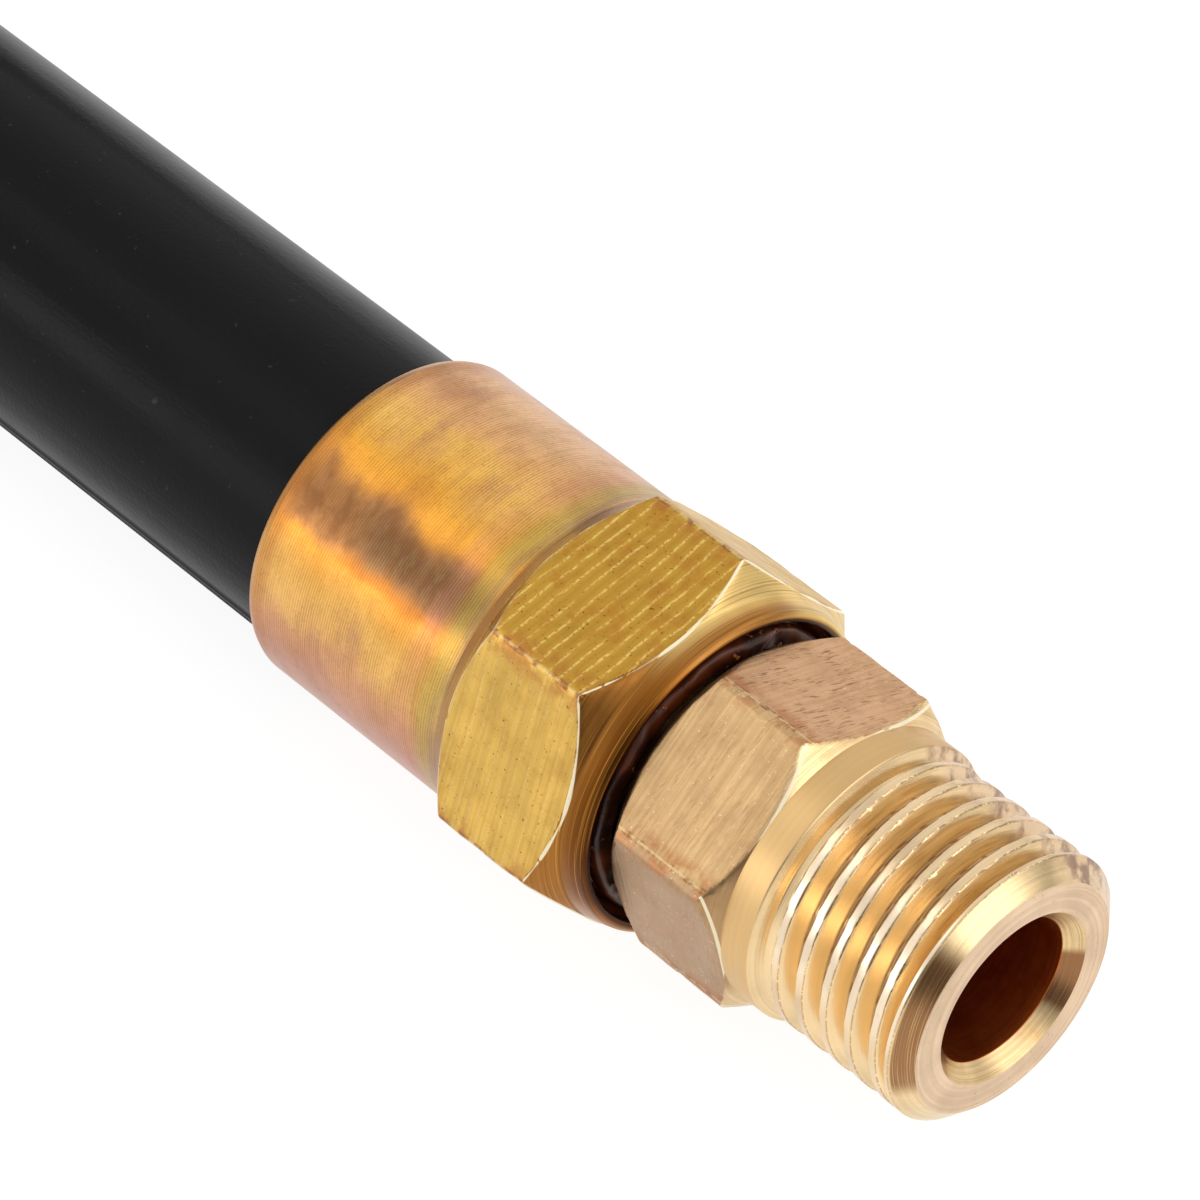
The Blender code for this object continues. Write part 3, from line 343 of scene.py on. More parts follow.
def closer_at_corners(angle, first):
    """Draws the steps round a hexagon together at its corners, where the shape is tight."""
    return angle + 0.7 / 6 * np.sin(6 * flat_offset(angle, first))


def nicked(radius, angle, height, size, seed, least, depth):
    """Depths of scattered nicks, where the noise is over the least value."""
    return np.clip(grainy(radius, angle, height, size, seed) - least, 0, 1) * depth


def milled(radius, angle, height, low, high, flats, first, wear, ripple, pitch):
    """Mills six flats on a turned blank, with worn edges and the mill's lines across them."""
    cut = (height > low) & (height < high) & (radius > flats * 0.47)
    r, a, h = radius[cut], angle[cut], height[cut]
    worn = wear * (1 + 0.9 * grainy(r, a, h, 1.3 * MM, 3.0))
    uneven = grainy(r, a, h, 2.2 * MM, 7.0)
    flat = flats / 2 / np.cos(flat_offset(a, first))
    on_flat = np.clip((r - flat) / (4 * wear), 0, 1)
    lines = 0.5 + 0.5 * np.sin(math.tau * h / pitch + 1.6 * uneven)
    nicks = nicked(r, a, h, 0.45 * MM, 19.0, 0.42, 0.28 * MM)
    edge = np.exp(-np.abs(r - flat) / (2.2 * wear))
    radius = radius.copy()
    radius[cut] = softer_least(r, flat, worn) - ripple * on_flat * lines - nicks * edge
    return radius


def remeshed(piece, voxel, passes):
    """Rounds a piece's inner and outer corners as a mould does, by a fine remesh and smoothing."""
    select_only(piece)
    modify(piece, "REMESH", mode="VOXEL", voxel_size=voxel)
    modify(piece, "SMOOTH", factor=0.5, iterations=passes)
    bpy.ops.object.shade_smooth()


def combined(piece, tools, operation):
    """Joins tools to a piece or cuts them out of it, and removes them."""
    for tool in tools:
        select_only(piece)
        modify(piece, "BOOLEAN", operation=operation, solver="EXACT", object=tool)
        bpy.data.objects.remove(tool, do_unlink=True)


def sheeted(name, verts, faces, runs):
    """An object of these faces, with each corner's (distance along, distance round) as its UVs."""
    mesh = bpy.data.meshes.new(name)
    mesh.from_pydata(verts, [], faces)
    layer = mesh.uv_layers.new(name="run")
    for loop, spot in zip(layer.data, runs):
        loop.uv = spot
    piece = bpy.data.objects.new(name, mesh)
    bpy.context.scene.collection.objects.link(piece)
    return piece


# --- making materials ----------------------------------------------------------------------------
def add(tree, kind, inputs=None, stops=None, **settings):
    """Adds a shader node with its settings; an input takes a value, or a node or socket to link."""
    made = tree.nodes.new("ShaderNode" + kind)
    for name, value in settings.items():
        setattr(made, name, value)
    for name, value in (inputs or {}).items():
        if isinstance(value, bpy.types.Node):
            value = next(socket for socket in value.outputs if socket.enabled)
        if isinstance(value, bpy.types.NodeSocket):
            tree.links.new(value, made.inputs[name])
        else:
            made.inputs[name].default_value = value
    if stops:
        ramp = made.color_ramp
        ramp.elements[0].position, ramp.elements[0].color = stops[0]
        ramp.elements[1].position, ramp.elements[1].color = stops[-1]
        for position, tone in stops[1:-1]:
            ramp.elements.new(position).color = tone
    return made


def both(tree, one, *others):
    """The product of masks and shares."""
    for other in others:
        one = add(tree, "Math", {0: one, 1: other}, operation="MULTIPLY")
    return one


def shader_input(tree, name):
    return tree.nodes["Principled BSDF"].inputs[name]


def rgba(tone):
    """A tone given as an sRGB hex value or as linear RGBA, in linear RGBA."""
    return colour(tone) if isinstance(tone, str) else tone


def new_look(name, tone, roughness, metallic=0.0, **constants):
    """A material's node tree, with the constants on the sockets of its shader."""
    made = bpy.data.materials.new(name)
    made.use_nodes = True
    constants |= {"Base_Color": rgba(tone), "Roughness": roughness, "Metallic": metallic}
    for socket, value in constants.items():
        shader_input(made.node_tree, socket.replace("_", " ")).default_value = value
    return made.node_tree


def finish(make):
    """The material that a function of the same name makes, made once."""
    if make.__name__ not in bpy.data.materials:
        make(make.__name__)
    return bpy.data.materials[make.__name__]


def main_colour(name):
    return (*getattr(bpy.context.scene.torch_colours, name), 1.0)


def dimmed(tone, share):
    return (*(channel * share for channel in rgba(tone)[:3]), 1.0)


def over(tree, tone, *shares):
    """Lays a colour over what the shader has, by the product of shares from 0 to 1."""
    base = shader_input(tree, "Base Color")
    below = base.links[0].from_socket if base.links else tuple(base.default_value)
    inputs = {0: both(tree, *shares), 6: below, 7: rgba(tone)}
    tree.links.new(add(tree, "Mix", inputs, data_type="RGBA").outputs[2], base)


def patches(tree, spot, size, low, high, detail=3.0, **inputs):
    """A mask of soft patches of about a size: 0 where the noise is under low, 1 over high."""
    inputs |= {"Vector": spot, "Scale": 1 / size, "Detail": detail, "Roughness": 0.6}
    limits = {"Value": add(tree, "TexNoise", inputs), "From Min": low, "From Max": high}
    return add(tree, "MapRange", limits, interpolation_type="SMOOTHSTEP")


def mottled(tree, spot, tone, share, *cloud, **inputs):
    """Lays a colour over the surface in patches, and gives back their mask."""
    mask = patches(tree, spot, *cloud, **inputs)
    over(tree, tone, mask, share)
    return mask


def seen_from(tree, origin):
    """Object coordinates measured from a point, in metres."""
    spot = add(tree, "TexCoord").outputs["Object"]
    return add(tree, "Mapping", {"Vector": spot, "Location": origin}, vector_type="TEXTURE")


def tool_lines(tree, spot, width, length):
    """Noise in fine lines that follow the tool's cut, of this width and length."""
    across = add(tree, "Attribute", attribute_name="across").outputs["Fac"]
    steps = add(tree, "Math", {0: across, 1: 1 / width}, operation="MULTIPLY")
    shift = add(tree, "CombineXYZ", {0: steps, 1: steps})
    slow = add(tree, "VectorMath", {0: spot, 3: 1 / length}, operation="SCALE")
    lines = add(tree, "VectorMath", {0: slow, 1: shift}, operation="ADD")
    return add(tree, "TexNoise", {"Vector": lines, "Scale": 1.0, "Detail": 2.0, "Roughness": 0.55})


def sine(tree, value, pitch):
    """A wave of this pitch along a value."""
    turns = add(tree, "Math", {0: value, 1: math.tau / pitch}, operation="MULTIPLY")
    return add(tree, "Math", {0: turns}, operation="SINE")


def rings(tree, pitch):
    """Even turned rings, as a wave from 0 to 1 along the outline."""
    across = add(tree, "Attribute", attribute_name="across").outputs["Fac"]
    return add(tree, "MapRange", {"Value": sine(tree, across, pitch), "From Min": -1.0})


def relief(tree, height, depth):
    """Adds a height from 0 to 1, this deep, to what the surface has."""
    normal = shader_input(tree, "Normal")
    inputs = {"Height": height, "Distance": depth}
    if normal.links:
        inputs["Normal"] = normal.links[0].from_socket
    tree.links.new(add(tree, "Bump", inputs).outputs["Normal"], normal)


def uneven_gloss(tree, mask, low, high):
    spread = add(tree, "MapRange", {"Value": mask, "To Min": low, "To Max": high})
    tree.links.new(spread.outputs["Result"], shader_input(tree, "Roughness"))


def around(tree, spot):
    """The angle round the fitting from its top line, in degrees, positive on the side at -Y."""
    parts = add(tree, "SeparateXYZ", {0: spot})
    minus_y = add(tree, "Math", {0: parts.outputs["Y"], 1: -1.0}, operation="MULTIPLY")
    turn = add(tree, "Math", {0: minus_y, 1: parts.outputs["Z"]}, operation="ARCTAN2")
    return add(tree, "Math", {0: turn, 1: math.degrees(1)}, operation="MULTIPLY")


def station(tree, spot):
    """The distance back from the fitting's mouth, in millimetres."""
    parts = add(tree, "SeparateXYZ", {0: spot})
    return add(tree, "Math", {0: parts.outputs["X"], 1: -1 / MM}, operation="MULTIPLY")


def reach(tree, spot):
    """The distance from the fitting's axis, in millimetres."""
    level = add(tree, "VectorMath", {0: spot, 1: (0, 1 / MM, 1 / MM)}, operation="MULTIPLY")
    return add(tree, "VectorMath", {0: level}, operation="LENGTH").outputs["Value"]


def hexagon_edges(tree, spot, first, front, back, flats):
    """Lays a bright worn line and stains along a milled hexagon's long edges, and a painted highlight on its
    rims.
    """
    angle = add(tree, "Math", {0: around(tree, spot), 1: first}, operation="SUBTRACT")
    to_ridge = add(tree, "Math", {0: angle, 1: 30.0}, operation="PINGPONG")
    stain = patches(tree, spot, 1.1 * MM, 0.42, 0.58, 4.0)
    nicks = patches(tree, spot, 0.55 * MM, 0.44, 0.6, 5.0)
    over(tree, "#B06A3A", band(tree, to_ridge, 30, 1.5, 5.5), stain, 0.55)
    over(tree, "#F0DCA4", band(tree, to_ridge, 30, 0.15, 0.4), 0.4)
    over(tree, "#8A5630", band(tree, to_ridge, 30, 0.6, 0.6), nicks, 0.7)
    worn_rims(tree, spot, first, front, back, flats)


def worn_rims(tree, spot, first, front, back, flats):
    """Lays a painted highlight where a hexagon's flats meet its cones, and makes the burred front rim less
    metallic.
    """
    angle = add(tree, "Math", {0: around(tree, spot), 1: first}, operation="SUBTRACT")
    turn = add(tree, "Math", {0: angle, 1: 30.0}, operation="PINGPONG")
    turn = add(tree, "Math", {0: turn, 1: math.radians(1)}, operation="MULTIPLY")
    radius = reach(tree, spot)
    level = both(tree, radius, add(tree, "Math", {0: turn}, operation="COSINE"))
    on_flat = band(tree, level, flats / 2 / MM - 0.035, 0.04, 0.035)
    beyond = add(tree, "Math", {0: radius, 1: flats / 2 / MM}, operation="SUBTRACT")
    rise = add(tree, "Math", {0: beyond, 1: CONE_SLOPE}, operation="MULTIPLY")
    place = station(tree, spot)
    for end, side, share in ((front, 1.0, 1.0), (back, -1.0, 0.4)):
        inward = add(tree, "Math", {0: place, 1: end / MM}, operation="SUBTRACT")
        inward = add(tree, "Math", {0: inward, 1: side}, operation="MULTIPLY")
        inward = add(tree, "Math", {0: inward, 1: rise}, operation="SUBTRACT")
        rim = both(tree, band(tree, inward, 0.03, 0.04, 0.035), on_flat, share)
        # painted highlight: a cream line along the rim
        over(tree, "#FFF0CC", rim)
        if side > 0:
            burr = add(tree, "MapRange", {"Value": rim, "To Min": 1.0, "To Max": 0.15})
            tree.links.new(burr.outputs["Result"], shader_input(tree, "Metallic"))


def band(tree, value, middle, half, soft):
    """A mask that is 1 within half of the middle value and fades out over a soft margin."""
    away = add(tree, "Math", {0: value, 1: middle}, operation="SUBTRACT")
    away = add(tree, "Math", {0: away}, operation="ABSOLUTE")
    limits = {"Value": away, "From Min": half + soft, "From Max": half}
    return add(tree, "MapRange", limits, interpolation_type="SMOOTHSTEP")


def nudged(tree, value, cloud, most):
    """A value moved either way by a noise, for an uneven border."""
    swing = add(tree, "MapRange", {"Value": cloud, "To Min": -most, "To Max": most})
    return add(tree, "Math", {0: value, 1: swing}, operation="ADD")


# --- brass ---------------------------------------------------------------------------------------
def machined(name, tone, roughness, line_depth=0.004 * MM, line_length=6 * MM, gloss=0.10):
    """Bare machined metal: fine tool lines in relief and in tone, and uneven gloss."""
    tree = new_look(name, tone, roughness, 1.0)
    spot = seen_from(tree, MOUTH)
    fine = tool_lines(tree, spot, 0.07 * MM, line_length)
    coarse = tool_lines(tree, spot, 0.3 * MM, 2 * line_length)
    cloud = patches(tree, spot, 2.5 * MM, 0.3, 0.7)
    over(tree, dimmed(tone, 0.86), cloud)
    strength = add(tree, "MapRange", {"Value": coarse, "From Min": 0.62, "From Max": 0.4, "To Max": 0.35})
    over(tree, dimmed(tone, 0.55), strength)
    relief(tree, fine, line_depth)
    relief(tree, coarse, 1.6 * line_depth)
    uneven_gloss(tree, cloud, roughness, roughness + gloss)
    return tree, spot


SKIRT_TINT_AND_HIGHLIGHT_TONES = (  # round the skirt from underneath: its side at +Y, its top and its side at -Y; heat tint, with painted highlights near the top and on the side at -Y
    (0.0, "#B07E62"), (0.25, "#C0907A"), (0.40, "#F0C08E"), (0.455, "#F2BA7A"), (0.485, "#FFC96A"),
    (0.53, "#F8B244"), (0.56, "#E8A84C"), (0.62, "#E8A444"), (0.66, "#F2BC66"), (0.69, "#EDB96C"),
    (0.72, "#D79E74"), (0.76, "#C38A74"), (1.0, "#B07E62"),
)


def heat_tinted_brass(name):
    """Turned brass that soldering heat has tinted: tan, gold and grey-brown oxide over rings, with painted
    highlights round it and a painted shadow behind the hexagon.
    """
    tree = new_look(name, "#E0AC5E", 0.3, 1.0)
    sizes = bpy.context.scene.torch_sizes
    spot = seen_from(tree, MOUTH)
    drift = add(tree, "TexNoise", {"Vector": spot, "Scale": 1 / (4.0 * MM), "Detail": 1.5})
    angle = nudged(tree, around(tree, spot), drift, 11.0)
    back = nudged(tree, station(tree, spot), drift, 0.8)
    share = add(tree, "MapRange", {"Value": angle, "From Min": -180.0, "From Max": 180.0})
    # heat tint and painted highlights, by the angle round the skirt
    ramp = add(tree, "ValToRGB", {0: share}, stops=[(at, colour(code)) for at, code in SKIRT_TINT_AND_HIGHLIGHT_TONES])
    tree.links.new(ramp.outputs["Color"], shader_input(tree, "Base Color"))
    pulled = add(tree, "Mapping", {"Vector": spot, "Scale": (1.0, 0.5, 0.5)})
    mottle = mottled(tree, pulled, "#B9854C", 0.3, 1.5 * MM, 0.45, 0.7, 5.0)
    pink = patches(tree, pulled, 2.6 * MM, 0.44, 0.8, 4.0)
    over(tree, "#C99072", pink, band(tree, angle, -34, 26, 22))
    over(tree, "#B57D72", pink, band(tree, angle, 84, 16, 14), 0.6)
    over(tree, "#CF7F32", band(tree, angle, 31, 12, 13), band(tree, back, 34.6, 6.0, 1.5), 0.35)
    over(tree, "#B5652A", band(tree, angle, 41, 1.5, 3.5), band(tree, back, 32.4, 2.6, 1.6), 0.55)
    streak = both(tree, band(tree, angle, 30, 6, 8), band(tree, back, 34.2, 4.8, 2.0))
    over(tree, "#9C7252", streak, 0.75)
    heart = both(tree, band(tree, angle, 32, 3, 9), band(tree, back, 32.2, 2.2, 2.6))
    over(tree, "#7E6A52", heart, 0.6)
    over(tree, "#7A4E34", streak, patches(tree, pulled, 0.8 * MM, 0.4, 0.62, 6.0), 0.55)
    over(tree, "#A08A62", heart, patches(tree, pulled, 0.5 * MM, 0.5, 0.66, 4.0), 0.45)
    even = station(tree, spot)
    for tone, along, middle, half, soft, share in (  # hoops round the skirt
        ("#B39048", back, 28.8, 0.35, 0.7, 0.45),
        ("#B8B460", back, 28.7, 0.15, 0.4, 0.3),
        ("#7C8A6A", back, 28.1, 0.1, 0.3, 0.4),
        ("#C98472", back, 30.0, 0.2, 0.7, 0.25),
        # painted shadow along the skirt's corner behind the hexagon's back edge
        ("#7C5C40", even, 27.5, 0.25, 0.25, 0.65),
        ("#B0703C", even, 40.1, 0.2, 0.7, 0.45),
    ):
        over(tree, tone, band(tree, along, middle, half, soft), share)
    lines = rings(tree, sizes.ring_pitch)
    rough_lines = tool_lines(tree, spot, 0.1 * MM, 5 * MM)
    patchy = patches(tree, spot, 1.2 * MM, 0.3, 0.6, 4.0)
    clear = add(tree, "MapRange", {"Value": patchy, "To Min": 0.14, "To Max": 0.4})
    over(tree, "#8A5424", lines, clear)
    over(tree, "#4E3624", lines, heart, 0.3)
    strength = add(tree, "MapRange", {"Value": rough_lines, "From Min": 0.5, "From Max": 0.7, "To Max": 0.25})
    over(tree, "#9A6636", strength)
    mottled(tree, spot, "#8E5C30", 0.3, 0.14 * MM, 0.5, 0.75, 2.0)  # grain
    relief(tree, lines, 0.004 * MM)
    relief(tree, rough_lines, 0.003 * MM)
    uneven_gloss(tree, mottle, 0.3, 0.4)


def milled_brass(name):
    """Milled yellow brass: rough pale lines, specks and worn edges, with the top flat in a painted shade of
    olive-gold.
    """
    tone = main_colour("brass")
    tree, spot = machined(name, tone, 0.36, 0.005 * MM)
    sizes = bpy.context.scene.torch_sizes
    angle = around(tree, spot)
    top = band(tree, angle, 0, 28, 3)
    # painted shade: the top flat darker olive-gold than the flats at its sides
    over(tree, "#C39438", top, 0.85)
    mottled(tree, spot, "#A0702A", 0.3, 1.6 * MM, 0.45, 0.7, 5.0)  # grime
    drift = add(tree, "TexNoise", {"Vector": spot, "Scale": 1 / (4.0 * MM), "Detail": 2.0})
    wobble = nudged(tree, station(tree, spot), drift, 0.35)
    wave = sine(tree, wobble, sizes.mill_pitch / MM)
    crest = add(tree, "MapRange", {"Value": wave, "From Min": 0.66, "From Max": 0.95})
    along = add(tree, "Mapping", {"Vector": spot, "Scale": (1.0, 0.25, 0.25)})
    broken = patches(tree, spot, 0.16 * MM, 0.36, 0.6, 2.0)
    lit = both(tree, crest, both(tree, broken, patches(tree, along, 0.9 * MM, 0.36, 0.5)))
    over(tree, "#F4D06C", lit, top, 0.8)
    over(tree, "#F4DC9A", lit, 0.15)
    between = add(tree, "MapRange", {"Value": wave, "From Min": -0.3, "From Max": -1.0})
    over(tree, "#96691F", between, top, 0.15)
    over(tree, "#B5762E", patches(tree, spot, 1.2 * MM, 0.5, 0.66, 3.0), top, 0.45)
    mottled(tree, spot, "#5E4020", 0.8, 0.15 * MM, 0.66, 0.72, 2.0)  # specks
    hexagon_edges(tree, spot, 0, SOCKET_FRONT, SOCKET_BACK, SOCKET_FLATS)
    relief(tree, lit, 0.014 * MM)


def turned_brass(name):
    """Brass faced in the lathe: bright concentric lines, stain patches, and painted shade on the side at -Y
    and low on the side at +Y.
    """
    tree, spot = machined(name, "#F3D29C", 0.27, 0.008 * MM, 12 * MM)
    mottled(tree, spot, "#C08C50", 0.4, 1.8 * MM, 0.5, 0.72, 4.0)  # stain
    angle = around(tree, spot)
    # painted shade: dark brown on the side at -Y and low on the side at +Y
    over(tree, "#80502A", band(tree, angle, 66, 34, 16), 0.6)
    over(tree, "#7E4426", band(tree, angle, -124, 17, 8), 0.8)
    lines = tool_lines(tree, spot, 0.09 * MM, 14 * MM)
    strength = add(tree, "MapRange", {"Value": lines, "From Min": 0.55, "From Max": 0.68, "To Max": 0.45})
    over(tree, "#9A7044", strength)
    first = math.degrees(CONNECTOR_TURN)
    worn_rims(tree, spot, first, CONNECTOR_FRONT, CONNECTOR_BACK, CONNECTOR_FLATS)


def stained_brass(name):
    """The socket's turned front: gold above, with painted shade low down on the side at -Y and into the bore,
    and brown round its lip.
    """
    tree, spot = machined(name, "#F8D488", 0.28, 0.008 * MM, 8 * MM)
    lines = tool_lines(tree, spot, 0.12 * MM, 10 * MM)
    ragged_angle = nudged(tree, around(tree, spot), lines, 18.0)
    # painted shade: dark brown low down on the side at -Y
    over(tree, "#94540E", band(tree, ragged_angle, 62, 46, 18), 0.88)
    radius = reach(tree, spot)
    over(tree, "#A06020", band(tree, radius, 8.05, 0.42, 0.2), band(tree, ragged_angle, 60, 90, 30), 0.85)
    # painted shade at the bore's mouth, and deeper inside the lip low down
    over(tree, "#3C160A", band(tree, radius, 7.75, 0.28, 0.25), 0.92)
    over(tree, "#42200C", band(tree, ragged_angle, 60, 30, 24), band(tree, radius, 7.8, 0.5, 0.5), 0.9)
    strength = add(tree, "MapRange", {"Value": lines, "From Min": 0.58, "From Max": 0.7, "To Max": 0.5})
    over(tree, "#D89A3E", strength)
    strength = add(tree, "MapRange", {"Value": lines, "From Min": 0.46, "From Max": 0.34, "To Max": 0.5})
    over(tree, "#6E4318", strength)
    worn_rims(tree, spot, 0, SOCKET_FRONT, SOCKET_BACK, SOCKET_FLATS)


def tarnished_brass(name):
    """Pinkish brass, handled and dulled, with long dark specks along the cut."""
    tone = main_colour("pale_brass")
    tree, spot = machined(name, tone, 0.38, 0.005 * MM)
    angle = around(tree, spot)
    # painted light and shade: the top flat a little darker and pinker, the flat on the side at -Y darker
    # grey-brown
    over(tree, "#DEB088", band(tree, angle, -30, 26, 5), 0.85)
    over(tree, "#A88A70", band(tree, angle, 90, 28, 5), 0.85)
    mottled(tree, spot, "#B9906A", 0.4, 1.3 * MM, 0.42, 0.68, 5.0)  # haze
    long_specks = tool_lines(tree, spot, 0.12 * MM, 0.5 * MM)
    where = patches(tree, spot, 1.4 * MM, 0.38, 0.56, 3.0)
    dots = add(tree, "MapRange", {"Value": long_specks, "From Min": 0.55, "From Max": 0.66})
    on_top = band(tree, angle, -30, 27, 4)
    share = add(tree, "MapRange", {"Value": on_top, "To Min": 0.3, "To Max": 0.8})
    over(tree, "#7E5436", dots, where, share)
    ribs = tool_lines(tree, spot, 0.22 * MM, 4 * MM)
    strength = add(tree, "MapRange", {"Value": ribs, "From Min": 0.42, "From Max": 0.62, "To Max": 0.35})
    over(tree, "#B48C5C", strength)
    mottled(tree, spot, "#F6E2BC", 0.7, 0.14 * MM, 0.66, 0.74, 2.0)  # bright nicks
    first = math.degrees(CONNECTOR_TURN)
    hexagon_edges(tree, spot, first, CONNECTOR_FRONT, CONNECTOR_BACK, CONNECTOR_FLATS)


def threaded_brass(name):
    """Freshly cut golden brass: pale crests with nicked edges and golden flanks, with painted highlights on
    the lit side and painted shade in the roots, on the far side and on the chamfer.
    """
    tone = main_colour("thread_brass")
    tree, spot = machined(name, tone, 0.25, 0.003 * MM, 10 * MM, 0.08)
    angle = around(tree, spot)
    place = station(tree, spot)
    root, crown = THREAD_ROOT_R / MM, THREAD_R / MM
    depth = add(tree, "MapRange", {"Value": reach(tree, spot), "From Min": root, "From Max": crown})
    on_thread = band(tree, place, 4.85, 3.9, 0.3)
    flank = both(tree, band(tree, depth, 0.5, 0.42, 0.04), on_thread)
    # painted highlight on the flanks of the lit side
    painted_highlight_side = band(tree, angle, 54, 40, 14)
    over(tree, "#FCDCAA", flank, painted_highlight_side, 0.5)
    scratches = tool_lines(tree, spot, 0.08 * MM, 1.6 * MM)
    worn = add(tree, "MapRange", {"Value": scratches, "From Min": 0.5, "From Max": 0.64})
    upper = both(tree, band(tree, angle, -8, 20, 16), flank)
    over(tree, "#C09464", upper, worn, 0.5)
    # painted shade in the thread's roots
    root_shade = add(tree, "MapRange", {"Value": depth, "From Min": 0.14, "From Max": 0.0})
    over(tree, "#7A4A22", root_shade, on_thread, 0.7)
    crest = add(tree, "MapRange", {"Value": depth, "From Min": 0.95, "From Max": 0.99})
    crest = both(tree, crest, on_thread)
    over(tree, "#F0D4B0", crest, 0.5)
    # painted highlight on the crests of the lit side
    over(tree, "#FFF2DC", crest, band(tree, angle, 46, 18, 16), 0.6)
    over(tree, "#B89C86", crest, patches(tree, spot, 2.6 * MM, 0.46, 0.6, 1.0), 0.3)
    edge = both(tree, band(tree, depth, 0.94, 0.02, 0.02), on_thread)
    over(tree, "#8F5E34", edge, 0.45)
    beads = patches(tree, spot, 0.16 * MM, 0.55, 0.62, 2.0)
    over(tree, "#FFE9B8", beads, edge, 0.8)
    # painted reflection and shadow: the far side paler pinkish-grey, with patches of painted shade
    shade = patches(tree, spot, 1.1 * MM, 0.44, 0.64, 3.0)
    far = band(tree, angle, -66, 18, 14)
    over(tree, "#D9B79C", far, 0.5)
    over(tree, "#7E5E50", shade, far, 0.75)
    collar = band(tree, place, 10.1, 0.85, 0.1)
    over(tree, "#D6AE74", collar, 0.8)
    chamfer = band(tree, place, 0.34, 0.4, 0.08)
    # painted shade: the end chamfer dark brown on the side at -Y, with paler groove lines in it
    chamfer_shade = both(tree, chamfer, band(tree, angle, 60, 28, 12))
    over(tree, "#80481F", chamfer_shade, 0.8)
    grooves = tool_lines(tree, spot, 0.06 * MM, 9 * MM)
    cut = add(tree, "MapRange", {"Value": grooves, "From Min": 0.54, "From Max": 0.62})
    over(tree, "#D9B07C", cut, chamfer_shade, 0.75)
    uneven_gloss(tree, collar, 0.26, 0.42)


def faced_brass(name):
    """The end face, cut across and left matt pinkish."""
    tree, spot = machined(name, "#EED0AE", 0.42, 0.003 * MM)
    mottled(tree, spot, "#A87C56", 0.5, 0.25 * MM, 0.66, 0.72, 2.0)  # specks


def bored_brass(name):
    """The drilled bores: redder, darker brass as painted shade deep inside them, with patches of old cutting
    oil.
    """
    tree, spot = machined(name, "#E0823E", 0.34, 0.008 * MM, 12 * MM)
    mottled(tree, spot, "#A04E22", 0.5, 2.2 * MM, 0.4, 0.7)  # oil


def plated_steel(name):
    """A zinc-plated washer: grey with fine lathe lines."""
    machined(name, "#A9A8A4", 0.3)


def set_sealant(name):
    """Hardened amber sealant, glossy and dark where it is thick."""
    coat = {"Specular_IOR_Level": 0.3, "Coat_Weight": 0.1, "Coat_Roughness": 0.2}
    tree = new_look(name, "#5E2A10", 0.4, **coat)
    spot = seen_from(tree, MOUTH)
    over(tree, "#2C1208", patches(tree, spot, 2.4 * MM, 0.35, 0.6, 2.0))
    glints = mottled(tree, spot, "#A4581E", 0.8, 0.6 * MM, 0.62, 0.72, 2.0)
    relief(tree, glints, 0.06 * MM)


# --- rubber, plastic, ceramic and the other metals -----------------------------------------------
def extruded_rubber(name):
    """Extruded black rubber: satin, with faint long streaks, dust and rubbed rings."""
    tone = main_colour("rubber")
    tree = new_look(name, tone, 0.3, Specular_IOR_Level=0.1)
    run = add(tree, "UVMap", uv_map="run")
    streaks = add(tree, "Mapping", {"Vector": run, "Scale": (1 / 0.14, 1 / 0.0008, 1)})
    inputs = {"Vector": streaks, "Scale": 1.0, "Detail": 3.0, "Roughness": 0.6}
    long_lines = add(tree, "TexNoise", inputs)
    spot = add(tree, "TexCoord").outputs["Object"]
    bloom = mottled(tree, spot, dimmed(tone, 1.8), 0.5, 14 * MM, 0.4, 0.75, 4.0)
    strength = add(tree, "MapRange", {"Value": long_lines, "From Min": 0.55, "From Max": 0.75, "To Max": 0.25})
    over(tree, dimmed(tone, 3.0), strength)
    across = add(tree, "Mapping", {"Vector": run, "Scale": (1 / 0.0009, 1 / 0.03, 1)})
    mottled(tree, across, "#4A4A4E", 0.2, 1.0, 0.7, 0.76, 2.0)  # scuffs
    mottled(tree, spot, "#5A5A60", 0.2, 0.5 * MM, 0.7, 0.76, 2.0)  # dust
    relief(tree, long_lines, 0.015 * MM)
    relief(tree, patches(tree, spot, 0.25 * MM, 0.3, 0.8, 2.0), 0.005 * MM)
    uneven_gloss(tree, bloom, 0.27, 0.4)


def nitrile_rubber(name):
    """Moulded nitrile rings: dull black with a fine bloom."""
    tree = new_look(name, "#1D1D1D", 0.6)
    spot = add(tree, "TexCoord").outputs["Object"]
    mottled(tree, spot, "#333231", 0.5, 1.5 * MM, 0.4, 0.7)  # bloom
    relief(tree, patches(tree, spot, 0.12 * MM, 0.3, 0.7), 0.01 * MM)


def parting_line(tree, origin, depth):
    """The fine raised line where the mould's halves met, level with the torch's axis."""
    parts = add(tree, "SeparateXYZ", {0: seen_from(tree, origin)})
    relief(tree, band(tree, parts.outputs["Z"], 0.0, 0.08 * MM, 0.08 * MM), depth)


def moulded_phenolic(name):
    """Compression-moulded phenolic: semi-gloss black with faint flow clouds and pin pits."""
    tone = main_colour("phenolic")
    tree = new_look(name, tone, 0.3)
    spot = add(tree, "TexCoord").outputs["Object"]
    flow = mottled(tree, spot, dimmed(tone, 1.7), 0.6, 7 * MM, 0.35, 0.7, 4.0, Distortion=1.2)
    mottled(tree, spot, "#4C4844", 0.3, 0.5 * MM, 0.68, 0.76, 2.0)  # dust
    relief(tree, patches(tree, spot, 0.3 * MM, 0.74, 0.68, 2.0), 0.02 * MM)
    relief(tree, flow, 0.02 * MM)
    parting_line(tree, HEAD, 0.09 * MM)
    uneven_gloss(tree, flow, 0.26, 0.4)


